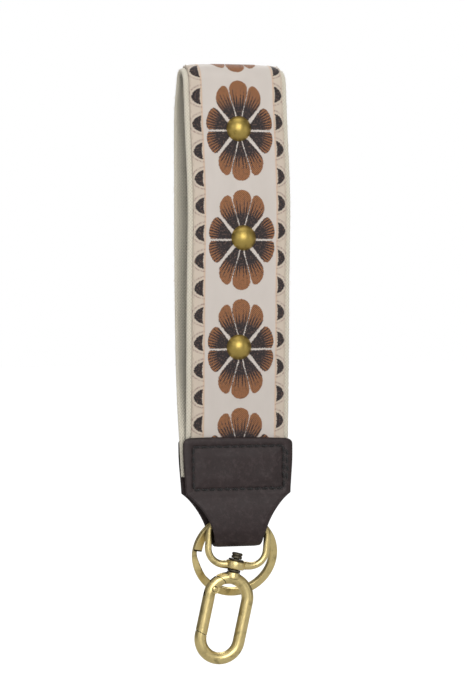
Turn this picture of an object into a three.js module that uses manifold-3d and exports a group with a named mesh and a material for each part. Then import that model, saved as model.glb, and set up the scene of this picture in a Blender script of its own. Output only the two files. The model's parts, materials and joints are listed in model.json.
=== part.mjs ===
// Wristlet key strap: a loop of studded jacquard webbing, closed by a leather chape that holds a
// split ring and a swivel clasp with a sprung gate. Millimetres, +Z up, +X to the right seen from
// the front, the printed front facing -Y. The origin is the inside of the loop's fold, where the
// strap hangs from a wrist or a peg.
import * as THREE from 'three';
import { mergeVertices } from 'three/addons/utils/BufferGeometryUtils.js';
import Module from 'manifold-3d';

const wasm = await Module();
wasm.setup();

// ---- Driving dimensions ----------------------------------------------------------------------
const GAP = 0.25; // room kept between faces that touch on the real object

const STRAP_WIDTH = 38;
const RIBBON_WIDTH = 34.6;
const WEBBING_THICK = 1.6;
const RIBBON_THICK = 0.7;
const LAYER_THICK = RIBBON_THICK + GAP + WEBBING_THICK;
const STRAP_END_Z = -150;

const FOLD_TOP_Z = LAYER_THICK; // outer face of the fold, over the origin
const FRONT_FOLD_R = 7;
const BACK_FOLD_R = 5.5;
const BACK_FLAT_LEAN = THREE.MathUtils.degToRad(18); // flat that the topmost back stud sits on
const BACK_FLAT_LENGTH = 9.1;

const FLOWER_PITCH = 39.7; // along the strap, one stud to a flower
const FIRST_STUD_Z = -21.6;
const STUD_SIDE_STEPS = [-0.2, 1.1, 0.2, 0.3, -0.4, 0.5, 0]; // hand-set, from the lowest in front
const FRONT_STUDS = 3;
const BACK_STUDS = 4;
const STUD_R = 4.6;
const STUD_HEIGHT = 3;
const STUD_POST_R = 1.1;
const STUD_BASE_R = 3.1;
const STUD_BASE_THICK = 0.6;

const CHAPE_TOP_Z = -133.7;
const CHAPE_LENGTH = 40.1;
const CHAPE_HALF_WIDTH = 19.6;
const CHAPE_TIP_HALF_WIDTH = 8.6;
const CHAPE_CORNER_R = 2.4;
const CHAPE_TAPER_START_Z = -154.2; // where the sides begin to draw in towards the tip
const CHAPE_TAPER_BEND = [9.5, -161.8];
const LEATHER_THICK = 1.4;
const CHAPE_FLAT_Y = 3.7; // leather's middle layer, beside the two strap ends
const CHAPE_FLAT_END_Z = -153.6;
const CHAPE_FRONT_POCKET_Y = 4.85; // leather's middle layer, in front of the swivel eye
const CHAPE_BACK_POCKET_Y = 5.7; // and behind the ring, which pushes it out
const CHAPE_FOLD_R = 3.8;

const STITCH_WIDTH = 33.9;
const STITCH_HEIGHT = 15.5;
const STITCH_CENTRE_Z = -144.75;
const THREAD_WIDTH = 0.5;
const THREAD_DEPTH = 0.35;
const THREAD_SUNK = 0.08; // thread's top under the leather's face
const GROOVE_WIDTH = 1.1;
const GROOVE_DEPTH = 0.6;

const RING_R = 14.6; // middle of the flat wire, 32 mm over all
const RING_BAND = 2.8;
const RING_WIRE_THICK = 1.1;
const RING_EDGE_R = 0.3;
const RING_COIL_STEP = 1.3;
const RING_LEAN = THREE.MathUtils.degToRad(16.5); // leans back, clear of the clasp as it swivels
const RING_TOP = [0.9, 1.25, -163.0]; // middle of the wire at the top of the ring, in the pocket
const RING_CUT_ANGLE = Math.PI; // front coil's cut end, at the left
const RING_JOG_ANGLE = THREE.MathUtils.degToRad(42);
const RING_SWEEP = THREE.MathUtils.degToRad(671);

const CLASP_Y = -1.6;
const HOOK_TILT = THREE.MathUtils.degToRad(13);
const HOOK_ORIGIN = [-3.4, CLASP_Y, -192.3]; // centre of the hook's upper arch
const HOOK_ARCH_R = 7.25; // middle of the wire
const HOOK_WIRE_R = 2.2;
const HOOK_STRAIGHT = 15.1;

const EYE_TILT = THREE.MathUtils.degToRad(5.5);
const EYE_WIRE_R = 1.25;
const EYE_HALF_WIDTH = 11.25;
const EYE_HEIGHT = 15.8;
const EYE_LOWER_CORNER_R = 6;
const EYE_UPPER_CORNER_R = 5.2;
const BOSS_R = 3.4;
const BOSS_HEIGHT = 3;
const BOSS_LIFT = 12.2; // boss centre above the hook's upper arch centre, along the swivel axis
const BOSS_BORE_R = 1.4;

const PIN_R = 1;
const PIN_HEAD_R = 1.95;
const PIN_HEAD_HEIGHT = 2.3;
const PIN_SEAT_W = 5.9;
const WASHER_R = 2.8;
const WASHER_THICK = 0.6;
const WASHER_LIFT = BOSS_LIFT + BOSS_HEIGHT / 2 + GAP;
const COLLAR_R = 2.4;
const COLLAR_THICK = 0.7;
const NECK_R = 2.5;
const NECK_TOP = 9.5; // just over the outside of the hook's arch

const PIVOT = [-6.1, 2.2]; // gate hinge, in the hook's own u and w
const GATE_TOP_R = 4.7; // the gate's top end is round about its hinge
const GATE_CUT_SLOPE = -0.31; // lower seam, lower on the inside so that the gate clears as it opens
const GATE_CUT_W = -14.4; // lower seam's height at the middle of the wire
const LUG_R = 1.8;
const LUG_HALF_THICK = 1.75;
const TONGUE_THICK = 1.5;
const SLOT_THICK = 2.1;
const SLOT_END_W = -1;
const RIVET_R = 0.65;
const RIVET_HEAD_R = 1.25;
const RIVET_HEAD_THICK = 0.35;
const SPRING_BORE_R = 1.15;
const SPRING_BORE_DEPTH = 8;
const SPRING_WIRE_R = 0.17;
const SPRING_R = 0.72;
const SPRING_TURNS = 6;
const SPRING_LENGTH = 5.4;
const PLUNGER_R = 0.9;
const PLUNGER_LENGTH = 1.5;

const COLOURS = {
  webbing: [0xd8cdb8, 0.95, 0],
  ribbon: [0xcfc2b6, 0.75, 0],
  leather: [0x382e2e, 0.6, 0],
  thread: [0x1c1414, 0.8, 0],
  stud: [0x9c8433, 0.35, 1],
  brass: [0x9e8c5a, 0.38, 1],
  dark_brass: [0x4a4238, 0.5, 1],
  steel: [0x9a9a98, 0.35, 1],
};

// ---- Shared helpers --------------------------------------------------------------------------
function material(key) {
  const [color, roughness, metalness] = COLOURS[key];
  return new THREE.MeshStandardMaterial({ color, roughness, metalness });
}

function named(name, geometry, key) {
  const mesh = new THREE.Mesh(geometry, material(key));
  mesh.name = name;
  return mesh;
}

function solid(geometry) {
  const bare = geometry.clone();
  bare.deleteAttribute('normal');
  bare.deleteAttribute('uv');
  const merged = mergeVertices(bare, 1e-5);
  const vertProperties = new Float32Array(merged.attributes.position.array);
  const triVerts = new Uint32Array(merged.index.array);
  return new wasm.Manifold(new wasm.Mesh({ numProp: 3, vertProperties, triVerts }));
}

function geometryOf(manifold) {
  const mesh = manifold.getMesh();
  const geometry = new THREE.BufferGeometry();
  geometry.setAttribute('position', new THREE.BufferAttribute(new Float32Array(mesh.vertProperties), 3));
  geometry.setIndex(new THREE.BufferAttribute(new Uint32Array(mesh.triVerts), 1));
  geometry.computeVertexNormals();
  return geometry;
}

// A side outline in y and z, extruded across the strap about x = 0.
function acrossX(shape, width) {
  const geometry = new THREE.ExtrudeGeometry(shape, { depth: width, bevelEnabled: false });
  geometry.translate(0, 0, -width / 2);
  const yzx = new THREE.Matrix4().makeBasis(
    new THREE.Vector3(0, 1, 0),
    new THREE.Vector3(0, 0, 1),
    new THREE.Vector3(1, 0, 0),
  );
  return geometry.applyMatrix4(yzx);
}

// A front outline in x and z, extruded from y0 to y1.
function alongY(shape, y0, y1) {
  const settings = { depth: y1 - y0, bevelEnabled: false, curveSegments: 10 };
  const geometry = new THREE.ExtrudeGeometry(shape, settings);
  geometry.rotateX(Math.PI / 2);
  return geometry.translate(0, y1, 0);
}

function polygon(points) {
  return new THREE.Shape(points.map(([a, b]) => new THREE.Vector2(a, b)));
}

// A cylinder along Y or Z, standing from one height to the other.
function rod(radius, from, to, sides = 16) {
  return new THREE.CylinderGeometry(radius, radius, to - from, sides).translate(0, (from + to) / 2, 0);
}

function rodZ(radius, from, to, sides = 16) {
  return rod(radius, from, to, sides).rotateX(Math.PI / 2);
}

// A plane path drawn in x and z, used as a route for a tube.
class FlatRoute extends THREE.Curve {
  constructor(path) {
    super();
    this.path = path;
  }

  getPoint(t) {
    const point = this.path.getPoint(t);
    return new THREE.Vector3(point.x, 0, point.y);
  }
}

function tube(route, radius, steps, halfSides) {
  const section = new THREE.Shape();
  section.absarc(0, 0, radius, 0, 2 * Math.PI);
  return new THREE.ExtrudeGeometry(section, { steps, extrudePath: route, curveSegments: halfSides });
}

// ---- Strap -----------------------------------------------------------------------------------
// Outer face of the strap in side view, as [y, z], up the front, over the fold and down the back.
function strapRoute() {
  const front = [
    [STRAP_END_Z, 2.7], [-142, 2.7], [-134, 2.75], [-121, 4.7], [-109, 6.4],
    [-96, 7.4], [-80, 7.9], [-55, 7.7], [-30, 7.2], [-12, 7],
  ].map(([z, depth]) => [-depth, z]);
  const fold = [];
  for (let degrees = 180; degrees >= 90; degrees -= 15) {
    const angle = THREE.MathUtils.degToRad(degrees);
    const z = FOLD_TOP_Z - FRONT_FOLD_R + FRONT_FOLD_R * Math.sin(angle);
    fold.push([FRONT_FOLD_R * Math.cos(angle), z]);
  }
  const turn = Math.PI / 2 - BACK_FLAT_LEAN;
  for (let step = 1; step <= 5; step += 1) {
    const angle = (turn * step) / 5;
    const z = FOLD_TOP_Z - BACK_FOLD_R * (1 - Math.cos(angle));
    fold.push([BACK_FOLD_R * Math.sin(angle), z]);
  }
  const [flatY, flatZ] = fold[fold.length - 1];
  for (const share of [1 / 3, 2 / 3, 1]) {
    const run = BACK_FLAT_LENGTH * share;
    fold.push([flatY + run * Math.sin(BACK_FLAT_LEAN), flatZ - run * Math.cos(BACK_FLAT_LEAN)]);
  }
  const back = [
    [-15, 8.75], [-40, 8.4], [-62, 8.2], [-84, 7.9], [-97, 7.3],
    [-109, 6.3], [-121, 4.6], [-134, 2.75], [-142, 2.7], [STRAP_END_Z, 2.7],
  ].map(([z, depth]) => [depth, z]);
  const points = [...front, ...fold, ...back].map(([y, z]) => new THREE.Vector3(0, y, z));
  const curve = new THREE.CatmullRomCurve3(points, false, 'centripetal');
  curve.arcLengthDivisions = 1200;
  return { curve, stations: curve.getPoints(3 * (points.length - 1)) };
}

function outward(tangent) {
  return new THREE.Vector3(0, -tangent.z, tangent.y).normalize();
}

function stationNormals(stations) {
  return stations.map((_, i) => {
    const before = stations[Math.max(i - 1, 0)];
    const after = stations[Math.min(i + 1, stations.length - 1)];
    return outward(after.clone().sub(before));
  });
}

// The solid between two depths under the strap's outer face.
function strapLayer(stations, top, bottom, width) {
  const normals = stationNormals(stations);
  const at = (i, depth) => stations[i].clone().addScaledVector(normals[i], -depth);
  const upper = stations.map((_, i) => at(i, top));
  const lower = stations.map((_, i) => at(i, bottom)).reverse();
  return acrossX(polygon([...upper, ...lower].map((p) => [p.y, p.z])), width);
}

// Where each stud goes: a group whose +Y stands out of the strap's face.
function studPlaces(curve) {
  const length = curve.getLength();
  let first = 0;
  while (curve.getPointAt(first / length).z < FIRST_STUD_Z) first += 0.1;
  const places = [];
  for (let k = 1 - FRONT_STUDS; k <= BACK_STUDS; k += 1) {
    const share = (first + k * FLOWER_PITCH) / length;
    const place = new THREE.Group();
    place.position.copy(curve.getPointAt(share));
    place.position.x = STUD_SIDE_STEPS[places.length];
    const normal = outward(curve.getTangentAt(share));
    place.quaternion.setFromUnitVectors(new THREE.Vector3(0, 1, 0), normal);
    place.updateMatrix();
    places.push(place);
  }
  return places;
}

function drilled(layer, places, radius) {
  let body = solid(layer);
  for (const place of places) {
    const drill = rod(radius, -2 * LAYER_THICK, LAYER_THICK, 12).applyMatrix4(place.matrix);
    body = body.subtract(solid(drill));
  }
  return geometryOf(body);
}

function studCap() {
  const sphereR = (STUD_R ** 2 + STUD_HEIGHT ** 2) / (2 * STUD_HEIGHT);
  const edge = Math.asin(STUD_R / sphereR);
  const profile = [new THREE.Vector2(0, -LAYER_THICK), new THREE.Vector2(STUD_POST_R, -LAYER_THICK)];
  profile.push(new THREE.Vector2(STUD_POST_R, GAP));
  for (let step = 0; step <= 6; step += 1) {
    const angle = edge * (1 - step / 6);
    const height = GAP + STUD_HEIGHT - sphereR * (1 - Math.cos(angle));
    profile.push(new THREE.Vector2(sphereR * Math.sin(angle), height));
  }
  return new THREE.LatheGeometry(profile, 20);
}

function studBase() {
  const top = -LAYER_THICK - GAP;
  const profile = [
    [0, top - STUD_BASE_THICK],
    [STUD_BASE_R * 0.7, top - STUD_BASE_THICK],
    [STUD_BASE_R, top - STUD_BASE_THICK / 2],
    [STUD_BASE_R, top],
    [0, top],
  ];
  return new THREE.LatheGeometry(profile.map(([r, h]) => new THREE.Vector2(r, h)), 16);
}

function makeStrap() {
  const group = new THREE.Group();
  const { curve, stations } = strapRoute();
  const places = studPlaces(curve);
  const webbing = strapLayer(stations, RIBBON_THICK + GAP, LAYER_THICK, STRAP_WIDTH);
  const ribbon = strapLayer(stations, 0, RIBBON_THICK, RIBBON_WIDTH);
  group.add(named('strap_webbing', drilled(webbing, places, STUD_POST_R + GAP), 'webbing'));
  group.add(named('jacquard_ribbon', drilled(ribbon, places, STUD_POST_R + GAP), 'ribbon'));
  places.forEach((place, i) => {
    const name = i < FRONT_STUDS ? `front_${FRONT_STUDS - i}` : `back_${i - FRONT_STUDS + 1}`;
    place.add(named(`stud_cap_${name}`, studCap(), 'stud'));
    place.add(named(`stud_base_${name}`, studBase(), 'stud'));
    group.add(place);
  });
  return group;
}

// ---- Leather chape ---------------------------------------------------------------------------
// One side of the folded leather's middle layer, from its flat end to the bottom of the fold.
function chapeSide(pocketY) {
  const foldZ = CHAPE_TOP_Z - CHAPE_LENGTH + LEATHER_THICK / 2 + CHAPE_FOLD_R;
  const sway = [
    [CHAPE_FLAT_Y, CHAPE_FLAT_END_Z],
    [CHAPE_FLAT_Y + 0.35, CHAPE_FLAT_END_Z - 2.4],
    [pocketY, CHAPE_FLAT_END_Z - 6.4],
    [pocketY, foldZ + 1.6],
    [CHAPE_FOLD_R + 0.5 * (pocketY - CHAPE_FOLD_R), foldZ + 0.2],
  ];
  for (let degrees = -18; degrees >= -90; degrees -= 18) {
    const angle = THREE.MathUtils.degToRad(degrees);
    sway.push([CHAPE_FOLD_R * Math.cos(angle), foldZ + CHAPE_FOLD_R * Math.sin(angle)]);
  }
  const points = sway.map(([y, z]) => new THREE.Vector3(0, y, z));
  const curve = new THREE.CatmullRomCurve3(points, false, 'centripetal').getPoints(26);
  return [new THREE.Vector3(0, CHAPE_FLAT_Y, CHAPE_TOP_Z), ...curve];
}

// Middle layer of the folded leather in side view, down the front, round the fold, up the back.
function chapeMidline() {
  const front = chapeSide(CHAPE_FRONT_POCKET_Y).map((p) => new THREE.Vector3(0, -p.y, p.z));
  const back = chapeSide(CHAPE_BACK_POCKET_Y).reverse();
  return [...front, ...back.slice(1)];
}

function chapeOutline() {
  const bottom = CHAPE_TOP_Z - CHAPE_LENGTH - 1;
  const round = CHAPE_CORNER_R;
  const shape = new THREE.Shape();
  shape.moveTo(-CHAPE_TIP_HALF_WIDTH, bottom);
  shape.lineTo(CHAPE_TIP_HALF_WIDTH, bottom);
  shape.quadraticCurveTo(...CHAPE_TAPER_BEND, CHAPE_HALF_WIDTH, CHAPE_TAPER_START_Z);
  shape.lineTo(CHAPE_HALF_WIDTH, CHAPE_TOP_Z - round);
  shape.absarc(CHAPE_HALF_WIDTH - round, CHAPE_TOP_Z - round, round, 0, Math.PI / 2);
  shape.lineTo(-CHAPE_HALF_WIDTH + round, CHAPE_TOP_Z);
  shape.absarc(-CHAPE_HALF_WIDTH + round, CHAPE_TOP_Z - round, round, Math.PI / 2, Math.PI);
  shape.lineTo(-CHAPE_HALF_WIDTH, CHAPE_TAPER_START_Z);
  const [bendX, bendZ] = CHAPE_TAPER_BEND;
  shape.quadraticCurveTo(-bendX, bendZ, -CHAPE_TIP_HALF_WIDTH, bottom);
  return shape;
}

// A rectangle of thread or groove about the stitch line, as a closed frame.
function stitchFrame(width, y0, y1) {
  const frame = (grow) => {
    const x = STITCH_WIDTH / 2 + grow;
    const z = STITCH_HEIGHT / 2 + grow;
    return [[-x, -z], [x, -z], [x, z], [-x, z]].map(([a, b]) => [a, b + STITCH_CENTRE_Z]);
  };
  const shape = polygon(frame(width / 2));
  shape.holes.push(new THREE.Path(frame(-width / 2).map(([a, b]) => new THREE.Vector2(a, b))));
  return alongY(shape, y0, y1);
}

function makeChape() {
  const midline = chapeMidline();
  const normals = stationNormals(midline);
  const offset = (i, by) => midline[i].clone().addScaledVector(normals[i], by);
  const outer = midline.map((_, i) => offset(i, LEATHER_THICK / 2));
  const inner = midline.map((_, i) => offset(i, -LEATHER_THICK / 2)).reverse();
  const strip = acrossX(polygon([...outer, ...inner].map((p) => [p.y, p.z])), 3 * CHAPE_HALF_WIDTH);
  let leather = solid(strip).intersect(solid(alongY(chapeOutline(), -9, 9)));

  const face = CHAPE_FLAT_Y + LEATHER_THICK / 2;
  const sides = [['front', -1], ['back', 1]];
  const group = new THREE.Group();
  for (const [side, sign] of sides) {
    const span = (from, to) => [sign * (face - from), sign * (face - to)].sort((a, b) => a - b);
    const groove = stitchFrame(GROOVE_WIDTH, ...span(-1, GROOVE_DEPTH));
    leather = leather.subtract(solid(groove));
    const thread = stitchFrame(THREAD_WIDTH, ...span(THREAD_SUNK, THREAD_SUNK + THREAD_DEPTH));
    group.add(named(`chape_stitching_${side}`, thread, 'thread'));
  }
  group.add(named('leather_chape', geometryOf(leather), 'leather'));
  return group;
}

// ---- Split ring ------------------------------------------------------------------------------
// One flat wire, nearly two turns about Y, stepping from the front coil to the back one in a jog.
class SplitRingRoute extends THREE.Curve {
  getPoint(t) {
    const turned = t * RING_SWEEP;
    const angle = RING_CUT_ANGLE - turned;
    const jogStart = 2 * Math.PI - RING_JOG_ANGLE;
    const jog = THREE.MathUtils.smoothstep(turned, jogStart, 2 * Math.PI - 0.04);
    const y = (jog - 0.5) * RING_COIL_STEP;
    return new THREE.Vector3(RING_R * Math.cos(angle), y, RING_R * Math.sin(angle));
  }
}

function makeRing() {
  const a = RING_WIRE_THICK / 2;
  const b = RING_BAND / 2;
  const round = RING_EDGE_R;
  const section = polygon([
    [-a, -b + round], [-a + round, -b], [a - round, -b], [a, -b + round],
    [a, b - round], [a - round, b], [-a + round, b], [-a, b - round],
  ]);
  const wire = new THREE.ExtrudeGeometry(section, { steps: 84, extrudePath: new SplitRingRoute() });
  const ring = named('key_ring', wire, 'brass');
  ring.position.z = -RING_R;
  const leaning = new THREE.Group();
  leaning.add(ring);
  leaning.position.set(...RING_TOP);
  leaning.rotation.x = RING_LEAN;
  return leaning;
}

// ---- Swivel eye ------------------------------------------------------------------------------
// A round-cornered D, drawn up from its boss: u to the right, w up along the eye.
function makeEye() {
  const low = EYE_LOWER_CORNER_R;
  const high = EYE_UPPER_CORNER_R;
  const half = EYE_HALF_WIDTH;
  const top = EYE_HEIGHT;
  const start = BOSS_R - 1;
  const loop = new THREE.Path();
  loop.moveTo(start, 0);
  loop.lineTo(half - low, 0);
  loop.absarc(half - low, low, low, -Math.PI / 2, 0);
  loop.lineTo(half, top - high);
  loop.absarc(half - high, top - high, high, 0, Math.PI / 2);
  loop.lineTo(-half + high, top);
  loop.absarc(-half + high, top - high, high, Math.PI / 2, Math.PI);
  loop.lineTo(-half, low);
  loop.absarc(-half + low, low, low, Math.PI, 1.5 * Math.PI);
  loop.lineTo(-start, 0);
  const wire = tube(new FlatRoute(loop), EYE_WIRE_R, 64, 5);
  const lean = HOOK_TILT - EYE_TILT;
  const boss = rodZ(BOSS_R, -BOSS_HEIGHT / 2, BOSS_HEIGHT / 2, 20).rotateY(lean);
  const bore = rodZ(BOSS_BORE_R, -BOSS_HEIGHT, BOSS_HEIGHT, 16).rotateY(lean);
  const body = solid(wire).add(solid(boss)).subtract(solid(bore));
  const eye = named('swivel_eye', geometryOf(body), 'brass');
  eye.rotation.y = EYE_TILT;
  return eye;
}

// ---- Hook ------------------------------------------------------------------------------------
// All of it is drawn with u to the right and w up about the centre of the upper arch.
function hookWire() {
  const r = HOOK_ARCH_R;
  const path = new THREE.Path();
  path.moveTo(-r, -HOOK_STRAIGHT + 4);
  path.lineTo(-r, -HOOK_STRAIGHT);
  path.absarc(0, -HOOK_STRAIGHT, r, Math.PI, 2 * Math.PI);
  path.lineTo(r, 0);
  path.absarc(0, 0, r, 0, THREE.MathUtils.degToRad(150));
  return solid(tube(new FlatRoute(path), HOOK_WIRE_R, 60, 7));
}

function gateWire() {
  const r = HOOK_ARCH_R;
  const path = new THREE.Path();
  path.absarc(0, 0, r, THREE.MathUtils.degToRad(100), Math.PI);
  path.lineTo(-r, -HOOK_STRAIGHT);
  return solid(tube(new FlatRoute(path), HOOK_WIRE_R, 30, 7));
}

// The part of the hook's plane that belongs to the gate, grown or shrunk by a margin.
function gateZone(margin) {
  const radius = GATE_TOP_R + margin;
  const [u, w] = PIVOT;
  const cut = (at) => GATE_CUT_W + GATE_CUT_SLOPE * (at + HOOK_ARCH_R) - margin;
  const shape = new THREE.Shape();
  shape.moveTo(u + radius, w);
  shape.absarc(u, w, radius, 0, Math.PI);
  shape.lineTo(u - radius, cut(u - radius));
  shape.lineTo(u + radius, cut(u + radius));
  return solid(alongY(shape, -2 * HOOK_WIRE_R, 2 * HOOK_WIRE_R));
}

function tongue() {
  const [u, w] = PIVOT;
  const reach = GATE_TOP_R + 1.4;
  const shape = new THREE.Shape();
  shape.absarc(u, w, LUG_R, THREE.MathUtils.degToRad(170), THREE.MathUtils.degToRad(400));
  shape.lineTo(u + 2.6, w + reach - 1.2);
  shape.lineTo(u + 0.6, w + reach - 1.1);
  return solid(alongY(shape, -TONGUE_THICK / 2, TONGUE_THICK / 2));
}

function rivetHole() {
  const hole = rod(RIVET_R + 0.2, -4, 4, 12);
  return solid(hole.translate(PIVOT[0], 0, PIVOT[1]));
}

// Flats on both sides of the gate that the rivet's heads sit on.
function spotFace(sign) {
  const ends = [sign * LUG_HALF_THICK, sign * 2 * HOOK_WIRE_R].sort((a, b) => a - b);
  return solid(rod(RIVET_HEAD_R + GAP, ...ends, 18).translate(PIVOT[0], 0, PIVOT[1]));
}

function hookBody() {
  const neck = solid(rodZ(NECK_R, HOOK_ARCH_R, NECK_TOP, 18));
  const seat = solid(rodZ(PIN_R + GAP, PIN_SEAT_W, 20, 14));
  const margin = GAP / 2;
  const open = hookWire().add(neck).subtract(gateZone(margin)).add(tongue());
  return geometryOf(open.subtract(rivetHole()).subtract(seat));
}

function hookGate() {
  const [u, w] = PIVOT;
  const lug = solid(rod(LUG_R, -LUG_HALF_THICK, LUG_HALF_THICK, 18).translate(u, 0, w));
  const slot = polygon([[-12, SLOT_END_W], [2, SLOT_END_W], [2, 8], [-12, 8]]);
  const slotSolid = solid(alongY(slot, -SLOT_THICK / 2, SLOT_THICK / 2));
  const depth = SLOT_END_W - SPRING_BORE_DEPTH;
  const bore = solid(rodZ(SPRING_BORE_R, depth, SLOT_END_W + 1, 14).translate(-HOOK_ARCH_R, 0, 0));
  const shell = gateWire().intersect(gateZone(-GAP / 2)).add(lug);
  const faced = shell.subtract(spotFace(1)).subtract(spotFace(-1));
  return geometryOf(faced.subtract(slotSolid).subtract(bore).subtract(rivetHole()));
}

function gatePin() {
  const [u, w] = PIVOT;
  const end = LUG_HALF_THICK + 0.1;
  const profile = [
    [0, -end - RIVET_HEAD_THICK],
    [RIVET_HEAD_R * 0.7, -end - RIVET_HEAD_THICK],
    [RIVET_HEAD_R, -end],
    [RIVET_R, -end],
    [RIVET_R, end],
    [RIVET_HEAD_R, end],
    [RIVET_HEAD_R * 0.7, end + RIVET_HEAD_THICK],
    [0, end + RIVET_HEAD_THICK],
  ];
  const pin = new THREE.LatheGeometry(profile.map(([r, h]) => new THREE.Vector2(r, h)), 14);
  return pin.translate(u, 0, w);
}

// Coil spring in the gate's bore, its turns along w.
class SpringRoute extends THREE.Curve {
  getPoint(t) {
    const angle = 2 * Math.PI * SPRING_TURNS * t;
    return new THREE.Vector3(SPRING_R * Math.cos(angle), SPRING_R * Math.sin(angle), SPRING_LENGTH * t);
  }
}

function gateSpring() {
  const floor = SLOT_END_W - SPRING_BORE_DEPTH + SPRING_WIRE_R + 0.1;
  const coil = tube(new SpringRoute(), SPRING_WIRE_R, 12 * SPRING_TURNS, 3);
  return coil.translate(-HOOK_ARCH_R, 0, floor);
}

function gatePlunger() {
  const low = SLOT_END_W - SPRING_BORE_DEPTH + SPRING_LENGTH + 3 * SPRING_WIRE_R;
  const profile = [
    [0, low],
    [PLUNGER_R, low],
    [PLUNGER_R, low + PLUNGER_LENGTH * 0.6],
    [PLUNGER_R * 0.6, low + PLUNGER_LENGTH],
    [0, low + PLUNGER_LENGTH],
  ];
  const plunger = new THREE.LatheGeometry(profile.map(([r, h]) => new THREE.Vector2(r, h)), 12);
  return plunger.rotateX(Math.PI / 2).translate(-HOOK_ARCH_R, 0, 0);
}

function swivelPin() {
  const shoulder = WASHER_LIFT + WASHER_THICK + GAP;
  const foot = PIN_SEAT_W + GAP;
  const head = shoulder + PIN_HEAD_HEIGHT;
  const profile = [
    [0, foot],
    [PIN_R, foot],
    [PIN_R, shoulder],
    [PIN_HEAD_R, shoulder],
    [PIN_HEAD_R, head - 0.5],
    [PIN_HEAD_R - 0.4, head],
    [0, head],
  ];
  const pin = new THREE.LatheGeometry(profile.map(([r, h]) => new THREE.Vector2(r, h)), 18);
  return pin.rotateX(Math.PI / 2);
}

function flatRing(outerR, innerR, low, thick) {
  const blank = solid(rodZ(outerR, low, low + thick, 20));
  return geometryOf(blank.subtract(solid(rodZ(innerR, low - 1, low + thick + 1, 14))));
}

function makeHook() {
  const hook = new THREE.Group();
  hook.position.set(...HOOK_ORIGIN);
  hook.rotation.y = HOOK_TILT;
  const collarLow = NECK_TOP + GAP;
  hook.add(named('hook_body', hookBody(), 'brass'));
  hook.add(named('hook_gate', hookGate(), 'brass'));
  hook.add(named('gate_pin', gatePin(), 'brass'));
  hook.add(named('gate_spring', gateSpring(), 'steel'));
  hook.add(named('gate_plunger', gatePlunger(), 'steel'));
  hook.add(named('swivel_pin', swivelPin(), 'dark_brass'));
  hook.add(named('swivel_washer', flatRing(WASHER_R, PIN_R + GAP, WASHER_LIFT, WASHER_THICK), 'dark_brass'));
  hook.add(named('swivel_collar', flatRing(COLLAR_R, PIN_R + GAP, collarLow, COLLAR_THICK), 'dark_brass'));
  return hook;
}

// ---- Whole object ----------------------------------------------------------------------------
const wristlet = new THREE.Group();
wristlet.add(makeStrap());
wristlet.add(makeChape());
wristlet.add(makeRing());

const hook = makeHook();
wristlet.add(hook);

const eye = makeEye();
eye.position.set(
  HOOK_ORIGIN[0] + BOSS_LIFT * Math.sin(HOOK_TILT),
  CLASP_Y,
  HOOK_ORIGIN[2] + BOSS_LIFT * Math.cos(HOOK_TILT),
);
wristlet.add(eye);

export default wristlet;
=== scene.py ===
import json
import math
import random

import bmesh
import bpy
import numpy as np
from mathutils import Matrix, Vector


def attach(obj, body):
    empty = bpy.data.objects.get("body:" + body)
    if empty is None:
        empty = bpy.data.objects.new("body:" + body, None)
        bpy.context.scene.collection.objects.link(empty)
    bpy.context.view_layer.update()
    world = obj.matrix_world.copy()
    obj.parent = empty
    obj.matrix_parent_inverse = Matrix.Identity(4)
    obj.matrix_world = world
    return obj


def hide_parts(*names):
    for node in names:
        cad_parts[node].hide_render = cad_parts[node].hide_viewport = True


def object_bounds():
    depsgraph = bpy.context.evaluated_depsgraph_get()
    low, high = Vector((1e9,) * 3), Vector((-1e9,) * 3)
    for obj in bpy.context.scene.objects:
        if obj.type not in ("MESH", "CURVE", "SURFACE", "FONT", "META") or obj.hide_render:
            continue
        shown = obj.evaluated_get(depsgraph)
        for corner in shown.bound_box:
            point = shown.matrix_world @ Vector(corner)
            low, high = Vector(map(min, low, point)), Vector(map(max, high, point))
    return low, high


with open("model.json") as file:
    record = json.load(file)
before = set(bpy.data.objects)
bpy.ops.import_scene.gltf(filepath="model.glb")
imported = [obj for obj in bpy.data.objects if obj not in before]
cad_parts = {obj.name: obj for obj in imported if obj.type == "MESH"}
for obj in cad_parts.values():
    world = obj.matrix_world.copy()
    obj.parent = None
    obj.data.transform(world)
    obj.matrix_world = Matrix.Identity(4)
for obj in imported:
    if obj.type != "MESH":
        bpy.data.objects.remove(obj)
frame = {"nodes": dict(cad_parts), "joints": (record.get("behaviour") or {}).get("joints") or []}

CAD_LOW, CAD_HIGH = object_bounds()
MM = 0.001

# ---- Strap, mm ----
WEBBING_HALF = 19.3
BACK_END_SHORT = 2.0  # how far the strap's back end stops short of its front end, in the leather
WEBBING_DEPTHS = (0.93, 2.55)  # outer and inner face, under the ribbon's face
RIBBON_HALF = 17.6
RIBBON_DEPTHS = (0.0, 0.93)
CROWN = 0.6  # how far the strap's edges curl in
FOLD_BOW = 0.35  # how much lower the fold is at its ends
HELD_LENGTH = (14, 40)  # the leather holds the strap flat up to the first, it is free past the second
# distances along the strap, and how far it lies to the right there
DRIFT = (
    (0, 0.6), (18, 0.8), (45, 0.5), (70, 0.7), (103, 1.5), (131, 0.9), (165, 0.0), (190, -0.6), (250, -1.2),
    (290, -1.4), (312, -0.6), (329, 0.2), (345, 0.6),
)
YARN_ALONG = 1.3  # pitch of the webbing's weave
YARN_ACROSS = 1.05
YARN_RELIEF = 0.13
WAVE = 0.12  # how far the free strap ripples
FIBRES_LOOSE = 1500
FIBRE_R = 0.03

# ---- Woven pattern, mm ----
FLOWER_PITCH = 39.7
STUD_RISE = 0.75  # how far the studs sit above the flowers' middles
PATTERN_SHIFT = 0.5  # the flowers' middle line, to the right of the strap's
BORDER_SHIFT = 0.25  # the same for the two borders
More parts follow.
